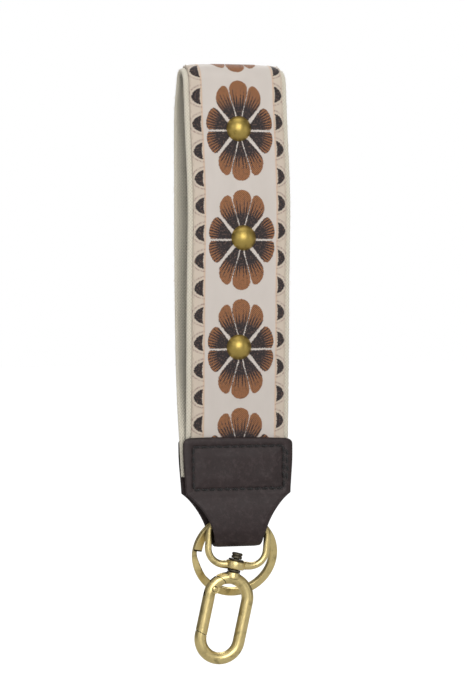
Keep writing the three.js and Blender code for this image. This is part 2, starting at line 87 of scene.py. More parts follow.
# lean, length, half width, fullness near the centre, sideways shift, bend of the tip
PETALS = (
    (0, 18.2, 3.4, 1.6, 0, 0),
    (28, 17.0, 2.8, 1.1, -0.05, 0.05),
    (66, 13.0, 4.0, 1.75, 0.65, 0.055),
)
PETAL_TIP = 3.6  # how blunt the tips are
MIDDLE_LINE = 0.33  # half the pale line between upper and lower petals
HEART_REACH = 9.4
HEART_SQUEEZE = 1.02
STREAK_LENGTH = 5.6
STREAKS_PER_TURN = 72
BAND_HALF = 13.5  # satin between the two borders
MOON_LINE = 13.75
MOON_OUT = (3.5, 2.95)  # how far the moons reach, left and right
MOON_HEIGHTS = (2.75, 3.25)  # below and above a moon's middle
MOON_RISE = (2.2, 3.2)  # above the flower's centre, left and right

# ---- Leather chape, mm ----
CHAPE_TOP_Z = -133.7
CHAPE_LENGTH = 40.1
CHAPE_HALF = 19.6
CHAPE_TIP_HALF = 8.6
CHAPE_FLARE = 1.0  # how much wider each side is at the top
CHAPE_SHIFT = 0.4
CHAPE_CORNER_R = 2.4
CHAPE_TAPER_START_Z = -154.2
CHAPE_TAPER_BEND = (9.6, -161.9)
LEATHER_THICK = 1.4
CHAPE_FLAT_Y = 3.7
CHAPE_FLAT_END_Z = -153.6
CHAPE_POCKET_Y = {"front": 4.85, "back": 5.7}
CHAPE_FOLD_R = 3.8
STITCH_BOX = (33.9, 15.5)
STITCH_CENTRE_Z = -144.75
STITCH_PITCH = 2.9
STITCH_LENGTH = 2.1
GROOVE_DEPTH = 0.28
GROOVE_WIDTH = 0.55
PUFF = 0.4  # how far the leather swells inside the stitches
RIM_THICK = 0.8  # share of the leather's thickness left at its painted edge
SECOND_ROW = 4  # stitches sewn twice, where the seam began and ended

# ---- Studs, mm ----
STUD_R = 4.6
STUD_HEIGHT = 3.1
STUD_BASE_R = 3.1
STUD_LIP = 0.2  # height of the dome's upright edge

# ---- Metal, mm ----
RING_R = 14.6
RING_BAND = 2.8
RING_WIRE_THICK = 1.1
RING_COIL_STEP = 1.3
RING_CROWN = 0.16  # how far each flat face bulges
RING_CORNER_R = 0.34
RING_LEAN = math.radians(16.5)
RING_TOP = (1.0, 1.25, -163.1)
RING_START = math.radians(172)  # where the cut end is, round from the right
RING_JOG = math.radians(42)
RING_SWEEP = math.radians(671)
RING_NARROW = 0.4  # share of the band's width ground away behind the cut end
RING_END_SPREAD = 0.12  # share by which the cut end itself is wider
RING_GROUND = math.radians(17)  # how far along the grinding runs
EYE_TILT = math.radians(5.5)
EYE_WIRE_R = 1.25
EYE_HALF = 10.95
EYE_SHIFT = 0.3  # how far the loop sits to the right of its boss
EYE_HEIGHT = 15.8
EYE_LOWER_R = 6
EYE_UPPER_R = 5.2
EYE_SWELL = 0.24  # how much thicker the wire is where it meets the boss
EYE_SWELL_LENGTH = 4.5
EYE_VOXEL = 0.11
BOSS_R = 3.5
BOSS_HEIGHT = 3
BOSS_LIFT = 12.2
BOSS_BORE_R = 1.4
HOOK_ARCH_R = 7.25
HOOK_WIRE_R = 2.2
HOOK_STRAIGHT = 15.1
GATE_TOP_R = 4.7
GATE_CUT_SLOPE = -0.31
GATE_CUT_W = -14.4
SEAM = 0.24  # width of the gap round the gate
# radius of the dark disc that paints shade in the gate's lower seam
SEAM_SHADE_R = 1.98
CUT_EDGE_R = 0.13  # how far cut edges are rounded
LUG_R = 1.8
LUG_HALF_THICK = 1.75
TONGUE_THICK = 1.5
SLOT_THICK = 1.9
SLOT_END_W = -1
SLOT_WALL_U = -8.2
RIVET_R = 0.65
RIVET_HEAD_R = 1.05
RIVET_HEAD_HEIGHT = 0.5
RIVET_GAP = 0.1  # round the rivet, in its hole
HEAD_GAP = (0.08, 0.06)  # round and under the rivet's heads
NECK_R = 2.5
NECK_TOP = 9.5
BORE_R = 1.15  # for the pin in the neck, and for the spring in the gate
SPRING_BORE_DEPTH = 8
SPRING_R = 0.72
SPRING_TURNS = 6
SPRING_LENGTH = 5.4
SPRING_WIRE_R = 0.17


# ---- Patterns, on numbers or in a shader ----
class Wire:
    """A value inside a shader that adds and multiplies as a number does."""

    def __init__(self, tree, socket):
        self.tree, self.socket = tree, socket

    def __add__(self, other):
        return step("ADD", np.add, self, other)

    def __sub__(self, other):
        return step("SUBTRACT", np.subtract, self, other)

    def __rsub__(self, other):
        return step("SUBTRACT", np.subtract, other, self)

    def __mul__(self, other):
        return step("MULTIPLY", np.multiply, self, other)

    def __truediv__(self, other):
        return step("DIVIDE", np.divide, self, other)

    __radd__, __rmul__ = __add__, __mul__


def join(tree, value, slot):
    """Links a Wire or a socket into a slot, or gives the slot a plain value."""
    if isinstance(value, Wire):
        value = value.socket
    if isinstance(value, bpy.types.NodeSocket):
        tree.links.new(value, slot)
    else:
        slot.default_value = value


def add_node(tree, kind, inputs=None, **settings):
    """A new shader node, with its settings and with what goes into it, by name or by number."""
    node = tree.nodes.new("ShaderNode" + kind)
    for key, value in settings.items():
        setattr(node, key, value)
    for key, value in (inputs or {}).items():
        join(tree, value, node.inputs[key])
    return node


def step(operation, plain, *values):
    """One sum, by numpy, or by a Math node where a value is a shader's."""
    wire = next((v for v in values if isinstance(v, Wire)), None)
    if wire is None:
        return plain(*values)
    node = add_node(wire.tree, "Math", dict(enumerate(values)), operation=operation)
    return Wire(wire.tree, node.outputs[0])


def operation(name, plain):
    """A function that works alike on numbers, on arrays and on a shader's values."""
    return lambda *values: step(name, plain, *values)


least = operation("MINIMUM", np.minimum)
most = operation("MAXIMUM", np.maximum)
size = operation("ABSOLUTE", np.abs)
root = operation("SQRT", np.sqrt)
power = operation("POWER", np.power)
cosine = operation("COSINE", np.cos)
turn_of = operation("ARCTAN2", np.arctan2)


def wrapped(a, half):
    """a, brought into -half to half by whole periods."""
    return step("WRAP", lambda x, high, low: (x - low) % (high - low) + low, a, half, -half)


def ramp(a, low, high):
    """0 up to low, 1 from high on, smooth between them."""
    share = least(most((a - low) / (high - low), 0.0), 1.0)
    return share * share * (3.0 - share * 2.0)


def petal_depth(x, y, lean, length, half, fullness, shift, bend):
    """How far inside one petal a place is. x and y are from the flower's centre, both positive."""
    lean = math.radians(lean)
    along = x * math.sin(lean) + y * math.cos(lean)
    curl = most(along - 0.62 * length, 0.0)
    off = x * math.cos(lean) - y * math.sin(lean) - shift + curl * curl * bend
    share = least(most(along / length, 0.001), 0.999)
    widest = (fullness / (fullness + PETAL_TIP / 2)) ** (1 / PETAL_TIP)
    scale = half / (widest**fullness * math.sqrt(1 - widest**PETAL_TIP))
    profile = power(share, fullness) * root(1.0 - power(share, PETAL_TIP))
    return least(profile * scale - size(off), length - along)


def flower(across, along, fray=0.0, unevenness=0.5):
    """Share of petal at a place on the strap, and share of its dark heart."""
    x = size(across - PATTERN_SHIFT)
    y = size(wrapped(along, FLOWER_PITCH / 2))
    depth = petal_depth(x, y, *PETALS[0])
    for petal in PETALS[1:]:
        depth = most(depth, petal_depth(x, y, *petal))
    depth = least(depth, y - MIDDLE_LINE) + fray
    reach = root(y * y + x * x * HEART_SQUEEZE**2)
    streak = cosine(turn_of(x, y) * STREAKS_PER_TURN + unevenness * 3.0) * 0.5 + 0.5
    limit = streak * (unevenness * 1.9 - 0.15) * STREAK_LENGTH + HEART_REACH
    return ramp(depth, -0.1, 0.12), ramp(limit - reach + fray * 3.0, -0.35, 0.35)


def border(across, along, fray=0.0):
    """Share of half moon, and share of the thin outline round it."""
    x = across - BORDER_SHIFT
    right = ramp(x, -0.1, 0.1)
    reach = right * (MOON_OUT[1] - MOON_OUT[0]) + MOON_OUT[0]
    rise = right * (MOON_RISE[1] - MOON_RISE[0]) + MOON_RISE[0]
    up = wrapped(along - rise, FLOWER_PITCH / 8)
    height = ramp(up, -0.8, 0.8) * (MOON_HEIGHTS[1] - MOON_HEIGHTS[0]) + MOON_HEIGHTS[0]
    out = size(x) - MOON_LINE
    share = up / height
    across_share = out / reach
    span = root(share * share + across_share * across_share) * 0.84 + (size(share) + across_share) * 0.16
    hollow = (1.0 - share * share) * 0.35
    moon = least((1.0 - span) * reach, out - hollow) + fray
    outline = (0.14 - size(span - 1.33)) * 6.0
    return ramp(moon, -0.12, 0.12), ramp(least(outline, out + 0.6), 0.0, 0.5)


# ---- Mesh helpers ----
class Part:
    """Mesh data in the making: places in mm, faces, and a UV for each face corner."""

    def __init__(self):
        self.places, self.faces, self.uvs, self.kinds = [], [], [], []
        self.count = 0

    def grid(self, places, u, v, wrap=False, caps=False, kinds=None):
        """Rows and columns of places. u and v are given for each, with a column more if it wraps."""
        rows, columns = places.shape[:2]
        across = columns if wrap else columns - 1
        r, c = np.meshgrid(np.arange(rows - 1), np.arange(across), indexing="ij")
        r, c = r.ravel(), c.ravel()
        corners = [(r, c), (r, c + 1), (r + 1, c + 1), (r + 1, c)]
        faces = np.stack([self.count + a * columns + b % columns for a, b in corners], axis=1)
        uvs = np.stack([np.stack([u[a, b], v[a, b]], axis=1) for a, b in corners], axis=1)
        self.faces += faces.tolist()
        self.uvs += uvs.reshape(-1, 2).tolist()
        self.kinds += [0] * len(faces) if kinds is None else [int(kinds[b]) for b in c]
        if caps:
            first = [self.count + b for b in range(columns)][::-1]
            last = [self.count + (rows - 1) * columns + b for b in range(columns)]
            for face, row in ((first, 0), (last, rows - 1)):
                self.faces.append(face)
                self.uvs += [[u[row, 0], v[row, 0]]] * columns
                self.kinds.append(0)
        self.places.append(places.reshape(-1, 3))
        self.count += rows * columns
        return self

    def mesh(self, name):
        data = bpy.data.meshes.new(name)
        data.from_pydata((np.concatenate(self.places) * MM).tolist(), [], self.faces)
        layer = data.uv_layers.new(name="Surface")
        layer.data.foreach_set("uv", np.asarray(self.uvs, np.float32).ravel())
        data.polygons.foreach_set("material_index", self.kinds)
        clean = bmesh.new()
        clean.from_mesh(data)
        bmesh.ops.remove_doubles(clean, verts=clean.verts, dist=1e-7)
        bmesh.ops.dissolve_degenerate(clean, edges=clean.edges, dist=1e-8)
        bmesh.ops.recalc_face_normals(clean, faces=clean.faces)
        clean.to_mesh(data)
        clean.free()
        return data


def unit_rows(vectors):
    return vectors / np.linalg.norm(vectors, axis=1)[:, None]


def distances(points):
    """How far each point is along the line through them all."""
    return np.r_[0, np.cumsum(np.linalg.norm(np.diff(points, axis=0), axis=1))]


def round_end(end, radius):
    """Share of a sheet's thickness at a distance from its end, so that the end is round."""
    return np.sqrt(np.clip(1 - (1 - np.clip(end / radius, 0, 1)) ** 2, 0, 1))


def closed_up(columns):
    """The columns, and the first of them once more."""
    return np.concatenate([columns, columns[:, :1]], axis=1)


def in_scene(name, data):
    """A new object of a mesh, a camera or a light, in the scene."""
    thing = bpy.data.objects.new(name, data)
    bpy.context.scene.collection.objects.link(thing)
    return thing


def new_object(name, part):
    return in_scene(name, part.mesh(name))


def finished(thing, body, materials, nodes=(), sharp=40):
    """Gives a piece its materials and shading, puts it on its body, and hides the CAD nodes that it stands
    for.
    """
    thing.data.materials.clear()
    for material in materials:
        thing.data.materials.append(material)
    thing.data.polygons.foreach_set("use_smooth", [True] * len(thing.data.polygons))
    thing.data.set_sharp_from_angle(angle=math.radians(sharp))
    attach(thing, body)
    if nodes:
        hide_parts(*nodes)
    return thing


def changed(thing, **settings):
    """Runs one modifier on an object and keeps its result."""
    modifier = thing.modifiers.new("change", settings.pop("kind"))
    for key, value in settings.items():
        setattr(modifier, key, value)
    bpy.context.view_layer.update()
    seen = thing.evaluated_get(bpy.context.evaluated_depsgraph_get())
    result = bpy.data.meshes.new_from_object(seen)
    thing.modifiers.clear()
    thing.data = result
    return thing


def combined(thing, other, operation):
    """Joins, cuts or keeps what two closed objects share, and removes the second."""
    changed(thing, kind="BOOLEAN", operation=operation, object=other, solver="EXACT")
    bpy.data.objects.remove(other)
    return thing


def eased(thing, width, sharp=35):
    """Rounds the sharp edges that a cut leaves."""
    changed(
        thing, kind="BEVEL", width=width * MM, segments=2, limit_method="ANGLE",
        angle_limit=math.radians(sharp), use_clamp_overlap=True,
    )
    return thing


def moved(thing, matrix):
    """Moves an object's mesh, and leaves the object at the origin."""
    thing.data.transform(matrix)
    return thing


def circle(radius, sides):
    turns = np.arange(sides) / sides * 2 * math.pi
    return np.stack([radius * np.cos(turns), radius * np.sin(turns)], axis=1)


def swept(points, section, part=None):
    """A section carried along a line of points. Its first axis starts near Y and stays across the line."""
    part = part or Part()
    points = np.asarray(points, float)
    heading = unit_rows(np.gradient(points, axis=0))
    side = np.array([0.0, 1.0, 0.0]) if abs(heading[0][1]) < 0.9 else np.array([1.0, 0.0, 0.0])
    sides = []
    for way in heading:
        side = side - way * (side @ way)
        side = side / np.linalg.norm(side)
        sides.append(side)
    sides = np.array(sides)
    ups = np.cross(heading, sides)
    section = np.broadcast_to(section, (len(points), *np.shape(section)[-2:]))
    places = points[:, None] + sides[:, None] * section[..., :1] + ups[:, None] * section[..., 1:]
    around = distances(np.vstack([section[0], section[0][:1]]))
    u = np.broadcast_to(around, (len(points), len(around)))
    v = np.broadcast_to(distances(points)[:, None], u.shape)
    return part.grid(places, u, v, wrap=True, caps=True)


def turned(profile, sides=48):
    """A profile of radius and height turned about Z."""
    profile = np.asarray(profile, float)
    angles = np.arange(sides) / sides * 2 * math.pi
    radii, heights = profile[:, :1], profile[:, 1:]
    places = np.stack(
        [radii * np.cos(angles), radii * np.sin(angles), heights + 0 * angles], axis=-1
    )
    around = np.arange(sides + 1) / sides * 2 * math.pi * profile[:, 0].max()
    u = np.broadcast_to(around, (len(profile), sides + 1))
    v = np.broadcast_to(distances(profile)[:, None], u.shape)
    return Part().grid(places, u, v, wrap=True)


def arc(centre, radius, first, last, each=4):
    """Points of an arc in x and z, in degrees, each this many degrees."""
    count = max(2, int(abs(last - first) / each) + 1)
    turns = np.radians(np.linspace(first, last, count))
    return [(centre[0] + radius * math.cos(t), centre[1] + radius * math.sin(t)) for t in turns]


def straight(start, end, each=0.6):
    """Points of a straight line in x and z, without its ends."""
    count = max(2, int(math.dist(start, end) / each))
    start, end = np.array(start), np.array(end)
    return [tuple(start + (end - start) * k / count) for k in range(1, count)]


def flat_line(points):
    return np.array([(x, 0, z) for x, z in points])


def extruded(points, low, high):
    """A closed outline in x and z, made solid between two y."""
    part = Part()
    outline = np.asarray(points, float)
    places = np.stack([
        np.stack([outline[:, 0], np.full(len(outline), y), outline[:, 1]], axis=1) for y in (low, high)
    ])
    u = np.zeros((2, len(outline) + 1))
    return part.grid(places, u, u, wrap=True, caps=True)


def smooth_curve(points, count):
    """Centripetal Catmull-Rom curve through points, evenly spaced."""
    points = np.asarray(points, float)
    points = np.vstack([2 * points[0] - points[1], points, 2 * points[-1] - points[-2]])
    knots = np.r_[0, np.cumsum(np.linalg.norm(np.diff(points, axis=0), axis=1) ** 0.5)]
    fine = []
    for i in range(1, len(points) - 2):
        p, k = points[i - 1 : i + 3], knots[i - 1 : i + 3]
        t = np.linspace(k[1], k[2], 40, endpoint=i == len(points) - 3)[:, None]
        a = [((k[j + 1] - t) * p[j] + (t - k[j]) * p[j + 1]) / (k[j + 1] - k[j]) for j in range(3)]
        b = [((k[j + 2] - t) * a[j] + (t - k[j]) * a[j + 1]) / (k[j + 2] - k[j]) for j in range(2)]
        fine.append(((k[2] - t) * b[0] + (t - k[1]) * b[1]) / (k[2] - k[1]))
    return respaced(np.vstack(fine), count)


def respaced(points, count):
    far = distances(points)
    even = np.linspace(0, far[-1], count)
    return np.stack([np.interp(even, far, points[:, k]) for k in range(points.shape[1])], axis=1)


# ---- The strap's route, read from the frame ----
def side_outline(node):
    """Outline of a strap layer seen from its side, in order from its lowest front corner, up."""
    shape = bmesh.new()
    shape.from_mesh(frame["nodes"][node].data)
    bmesh.ops.remove_doubles(shape, verts=shape.verts, dist=1e-7)
    edge = max(v.co.x for v in shape.verts)
    cap = {f for f in shape.faces if all(v.co.x > edge - 1e-6 for v in f.verts)}
    links = {}
    for face in cap:
        for line in face.edges:
            if sum(f in cap for f in line.link_faces) == 1:
                a, b = line.verts
                links.setdefault(a, []).append(b)
                links.setdefault(b, []).append(a)
    start = min(links, key=lambda v: (round(v.co.z, 5), v.co.y))
    walk = [start, max(links[start], key=lambda v: v.co.z)]
    while True:
        ahead = next(v for v in links[walk[-1]] if v is not walk[-2])
        if ahead is start:
            break
        walk.append(ahead)
    outline = np.array([(v.co.y, v.co.z) for v in walk]) / MM
    shape.free()
    return outline


class Route:
    """The strap's outer face in side view: its place and its outward direction at a distance along it."""

    def __init__(self, points):
        far = distances(points)
        fine = np.linspace(0, far[-1], 6000)
        cell = np.clip(np.searchsorted(far, fine) - 1, 0, len(far) - 2)
        width = (far[cell + 1] - far[cell])[:, None]
        t = ((fine - far[cell]) / width[:, 0])[:, None]
        slope = np.gradient(points, far, axis=0)
        self.line = (
            points[cell] * (2 * t**3 - 3 * t**2 + 1)
            + points[cell + 1] * (3 * t**2 - 2 * t**3)
            + slope[cell] * width * (t**3 - 2 * t**2 + t)
            + slope[cell + 1] * width * (t**3 - t**2)
        )
        self.far = distances(self.line)
        self.length = self.far[-1]
        heading = unit_rows(np.gradient(self.line, self.far, axis=0))
        self.facing = np.stack([-heading[:, 1], heading[:, 0]], axis=1)
        self.top = self.far[self.line[:, 1].argmax()]

    def at(self, s):
        y, z = (np.interp(s, self.far, self.line[:, k]) for k in (0, 1))
        ny, nz = (np.interp(s, self.far, self.facing[:, k]) for k in (0, 1))
        return y, z, ny, nz

    def nearest(self, y, z):
        return self.far[np.hypot(self.line[:, 0] - y, self.line[:, 1] - z).argmin()]


outline = side_outline("jacquard_ribbon")
ROUTE = Route(outline[: len(outline) // 2])
DRIFT_LINE = smooth_curve(DRIFT, 200).T


def looseness(s):
    """0 where the leather holds the strap flat, 1 where it hangs free."""
    return ramp(s, *HELD_LENGTH) * ramp(ROUTE.length - s, *HELD_LENGTH)


def on_strap(x, s, depth):
    """Places, in mm, of points given across the strap, along it, and under its outer face."""
    y, z, ny, nz = ROUTE.at(s)
    edge = np.abs(x) / WEBBING_HALF
    free = looseness(s)
    wave = WAVE * np.sin(s / 17) * np.sin(x / 9 + s / 31)
    sink = depth + (CROWN * edge**4 + wave) * free
    bow = FOLD_BOW * edge**5 * np.exp(-(((s - ROUTE.top) / 26) ** 2))
    return np.stack([x + np.interp(s, *DRIFT_LINE), y - ny * sink, z - nz * sink - bow], axis=-1)


def mean_place(node):
    data = frame["nodes"][node].data
    return sum((v.co for v in data.vertices), Vector()) / len(data.vertices) / MM


STUDS = sorted(n[len("stud_cap_") :] for n in frame["nodes"] if n.startswith("stud_cap_"))
STUD_AT = {}
for stud in STUDS:
    middle = mean_place("stud_cap_" + stud)
    STUD_AT[stud] = (middle.x, ROUTE.nearest(middle.y, middle.z))
FLOWER_AT = STUD_AT["front_1"][1] - STUD_RISE


# ---- Materials ----
def linear(red, green, blue):
    """A colour as it looks on a screen, as the shader's linear numbers."""
    parts = (red, green, blue)
    return tuple(c / 12.92 if c <= 0.04045 else ((c + 0.055) / 1.055) ** 2.4 for c in parts) + (1,)


class Shader:
    """A material in the making, with short calls for the nodes that repeat."""

    def __init__(self, name, **settings):
        self.material = bpy.data.materials.new(name)
        self.material.use_nodes = True
        self.tree = self.material.node_tree
        self.bsdf = self.tree.nodes["Principled BSDF"]
        for key, value in settings.items():
            self.give(key.replace("_", " "), value)

    def give(self, name, value):
        """Gives the material itself a value or a pattern."""
        join(self.tree, value, self.bsdf.inputs[name])

    def colour(self, value):
        self.give("Base Color", value)

    def rough(self, value):
        self.give("Roughness", value)

    def add(self, kind, inputs=None, **settings):
        return add_node(self.tree, kind, inputs, **settings)

    def surface(self):
        """Across and along the piece's own surface, in mm."""
        node = self.add("UVMap", uv_map="Surface")
        parts = self.add("SeparateXYZ", {0: node.outputs[0]})
        return Wire(self.tree, parts.outputs[0]), Wire(self.tree, parts.outputs[1])

    def pair(self, u, v):
        return self.add("CombineXYZ", {0: u, 1: v}).outputs[0]

    def solid(self):
        """Place in the piece, in mm."""
        place = self.add("TexCoord").outputs["Object"]
        return self.add("VectorMath", {0: place, "Scale": 1 / MM}, operation="SCALE").outputs[0]

    def noise(self, vector, scale, detail=3.0, roughness=0.55):
        inputs = {"Vector": vector, "Scale": scale, "Detail": detail, "Roughness": roughness}
        return Wire(self.tree, self.add("TexNoise", inputs).outputs[0])

    def cells(self, vector, scale):
        inputs = {"Vector": vector, "Scale": scale, "Smoothness": 0.35}
        node = self.add("TexVoronoi", inputs, feature="SMOOTH_F1")
        return Wire(self.tree, node.outputs["Distance"])

    def crevice(self, reach):
        """1 deep in a corner, 0 in the open."""
        node = self.add("AmbientOcclusion", {"Distance": reach * MM}, samples=8)
        return 1.0 - Wire(self.tree, node.outputs["AO"])

    def mix(self, share, first, second):
        """The first colour, with that share of the second."""
        return self.add("Mix", {0: share, 6: first, 7: second}, data_type="RGBA").outputs[2]

    def bump(self, height, distance, strength):
        """Adds relief of that many mm to what the material already has."""
        inputs = {"Distance": distance * MM, "Strength": strength, "Height": height}
        before = self.bsdf.inputs["Normal"].links
        if before:
            inputs["Normal"] = before[0].from_socket
        self.give("Normal", self.add("Bump", inputs).outputs[0])


def plain_weave(u, v, across, along):
    """Height of a plain weave: threads that go over and under each other in turn."""
    return cosine(u * (2 * math.pi / across)) * cosine(v * (2 * math.pi / along)) * 0.5 + 0.5


def ribbon_material():
    shader = Shader("jacquard_weave", Roughness=0.7, Sheen_Weight=0.25, Sheen_Roughness=0.5)
    u, v = shader.surface()
    along = v - FLOWER_AT
    grain = shader.noise(shader.pair(u * 3.4, v * 3.0), 1.0, detail=2.0) - 0.5
    blotch = shader.noise(shader.pair(u, v), 0.9, detail=3.0)
    fleck = ramp(shader.noise(shader.pair(u * 1.7, v * 1.5), 1.0, detail=2.0), 0.35, 0.65)
    ragged = grain * 0.5 + (fleck - 0.5) * 0.22
    petals, heart = flower(u, along, ragged, blotch + (fleck - 0.5) * 0.26)
    moon, line = border(u, along, ragged)
    out = size(u - BORDER_SHIFT)
    edge_band = ramp(out, BAND_HALF - 0.25, BAND_HALF)
    peach = 1.0 - ramp(size(out - BAND_HALF), 0.15, 0.5)
    weft = cosine(v * (2 * math.pi / 0.3)) * 0.5 + 0.5
    warp = cosine(u * (2 * math.pi / 0.24)) * 0.5 + 0.5

    shade = shader.noise(shader.pair(u * 0.3, v * 0.12), 0.6, detail=4.0)
    yarns = plain_weave(u, v, 0.74, 0.76)
    satin = shader.mix(shade, linear(0.80, 0.765, 0.73), linear(0.86, 0.825, 0.795))
    satin = shader.mix(weft * warp * 0.5 + yarns * 0.15, satin, linear(0.74, 0.695, 0.66))
    ground = shader.mix(shade, linear(0.85, 0.795, 0.73), linear(0.80, 0.74, 0.675))
    ground = shader.mix(weft * 0.5, ground, linear(0.74, 0.68, 0.61))
    cloth = shader.mix(edge_band, satin, ground)
    cloth = shader.mix(peach * 0.75, cloth, linear(0.82, 0.70, 0.60))
    cloth = shader.mix(line * (fleck * 0.75 + 0.1), cloth, linear(0.62, 0.52, 0.48))
    night = shader.mix(blotch, linear(0.10, 0.075, 0.085), linear(0.15, 0.11, 0.12))
    night = shader.mix(yarns * 0.3, night, linear(0.22, 0.17, 0.165))
    night = shader.mix(ramp(fleck, 0.75, 1.0) * 0.4, night, linear(0.52, 0.40, 0.34))
    copper = shader.mix(blotch, linear(0.56, 0.36, 0.215), linear(0.70, 0.47, 0.295))
    copper = shader.mix(ramp(yarns, 0.3, 0.9) * 0.8, copper, linear(0.32, 0.195, 0.125))
    copper = shader.mix((1.0 - ramp(fleck, 0.0, 0.3)) * 0.45, copper, linear(0.24, 0.15, 0.11))
    cloth = shader.mix(petals, cloth, shader.mix(heart, copper, night))
    cloth = shader.mix(moon, cloth, night)
    shader.colour(cloth)
    pattern = most(petals, moon)
    shader.rough(pattern * 0.15 + 0.62)
    shader.bump(weft * 0.6 + warp * 0.4, 0.05, 0.6)
    shader.bump(pattern + line * 0.5 + peach * 0.6, 0.07, 0.7)
    shader.bump(grain, 0.08, 0.5)
    return shader.material


def webbing_material():
    shader = Shader("cotton_webbing", Roughness=0.9, Sheen_Weight=0.35, Sheen_Roughness=0.6)
    u, v = shader.surface()
    weave = plain_weave(u, v, YARN_ACROSS, YARN_ALONG)
    fibres = shader.noise(shader.pair(u * 9.0, v * 2.2), 1.0, detail=4.0)
    cloud = shader.noise(shader.solid(), 0.12, detail=3.0)
    cotton = shader.mix(cloud, linear(0.91, 0.88, 0.815), linear(0.87, 0.835, 0.76))
    # Painted shade: darker in the hollows of the weave.
    cotton = shader.mix((1.0 - weave) * 0.5, cotton, linear(0.62, 0.60, 0.51))
    cotton = shader.mix(fibres * 0.3, cotton, linear(0.90, 0.875, 0.82))
    # Painted shade: dark inside the strap's loop, between its layers, by ambient occlusion.
    cotton = shader.mix(ramp(shader.crevice(24.0), 0.42, 0.78) * 0.93, cotton, linear(0.22, 0.215, 0.165))
    shader.colour(cotton)
    shader.bump(weave, 0.16, 0.7)
    shader.bump(fibres, 0.10, 0.6)
    return shader.material


def fibre_material():
    shader = Shader("loose_fibres", Roughness=0.9, Sheen_Weight=0.3)
    tone = shader.noise(shader.solid(), 0.8)
    shader.colour(shader.mix(tone, linear(0.90, 0.86, 0.77), linear(0.80, 0.745, 0.65)))
    return shader.material


def thread_material(name, dark, light):
    """Two twisted plies; the strands' own shape carries the twist."""
    shader = Shader(name, Roughness=0.62, Sheen_Weight=0.2)
    u, v = shader.surface()
    fibres = shader.noise(shader.pair(u * 9.0, v * 1.6), 1.0, detail=4.0)
    shader.colour(shader.mix(fibres, dark, light))
    shader.bump(fibres, 0.05, 0.7)
    return shader.material


def leather_material():
    shader = Shader("dark_leather", Roughness=0.5, Specular_IOR_Level=0.4)
    place = shader.solid()
    pebble = 1.0 - shader.cells(place, 1.9)
    crease = shader.noise(place, 0.55, detail=5.0, roughness=0.65)
    fine = shader.noise(place, 5.5, detail=4.0)
    cloud = shader.noise(place, 0.11, detail=4.0)
    hide = shader.mix(cloud, linear(0.14, 0.093, 0.092), linear(0.19, 0.135, 0.133))
    hide = shader.mix(ramp(crease, 0.45, 0.7) * 0.65, hide, linear(0.25, 0.20, 0.20))
    hide = shader.mix(ramp(1.0 - pebble, 0.45, 0.8) * 0.35, hide, linear(0.12, 0.09, 0.09))
    # Painted shade: darker in the stitch grooves and creases, by ambient occlusion.
    hide = shader.mix(shader.crevice(1.2) * 0.5, hide, linear(0.06, 0.045, 0.04))
    shader.colour(hide)
    shader.rough(fine * 0.2 + cloud * 0.2 + 0.34)
    shader.bump(pebble, 0.07, 0.4)
    shader.bump(crease, 0.25, 0.3)
    shader.bump(fine, 0.035, 0.5)
    return shader.material


def edge_paint_material():
    shader = Shader("painted_edge", Roughness=0.4)
    place = shader.solid()
    streak = shader.noise(place, 1.2, detail=4.0)
    shader.colour(shader.mix(streak, linear(0.09, 0.08, 0.085), linear(0.16, 0.14, 0.145)))
    shader.rough(streak * 0.3 + 0.3)
    shader.bump(streak, 0.08, 0.6)
    return shader.material


def brass_material(name, bright, deep, tarnish, roughness, darkening, reach, dark_end=0.0):
    """Antique brass: brushed along the wire, with dark patina and painted shade in its corners, and painted
    shade across a cut end.
    """
    shader = Shader(name, Metallic=1.0)
    u, v = shader.surface()
    place = shader.solid()
    brush = shader.noise(shader.pair(u * 7.0, v * 0.55), 1.0, detail=5.0, roughness=0.65)
    cloud = shader.noise(place, 0.28, detail=4.0)
    speck = shader.noise(place, 2.6, detail=5.0, roughness=0.7)
    metal = shader.mix(cloud, bright, deep)
    metal = shader.mix(ramp(brush, 0.45, 0.8) * 0.35, metal, tarnish)
    metal = shader.mix(ramp(cloud, 0.53, 0.72) * 0.4, metal, tarnish)
    # Darker in corners by ambient occlusion: partly patina in the hollows, partly painted shade.
    corner = ramp(shader.crevice(reach) + (speck - 0.5) * 0.25, 0.09, 0.46)
    patina_and_shade = most(corner * darkening, ramp(speck, 0.62, 0.78) * 0.35)
    # Painted shade: a dark line across the ring's cut end.
    if dark_end:
        patina_and_shade = most(patina_and_shade, 1.0 - ramp(v, dark_end * 0.7, dark_end))
    # Patina, specks and painted shade all take the dark colour here.
    shader.colour(shader.mix(patina_and_shade, metal, tarnish))
    shader.rough(brush * 0.16 + cloud * 0.1 + patina_and_shade * 0.22 + roughness)
    shader.bump(brush, 0.02, 0.5)
    shader.bump(speck, 0.02, 0.35)
    return shader.material


def steel_material():
    shader = Shader("spring_steel", Metallic=1.0)
    place = shader.solid()
    drawn = shader.noise(place, 3.0, detail=4.0)
    shader.colour(shader.mix(drawn, linear(0.66, 0.66, 0.65), linear(0.50, 0.50, 0.50)))
    shader.rough(drawn * 0.2 + 0.25)
    shader.bump(drawn, 0.01, 0.5)
    return shader.material


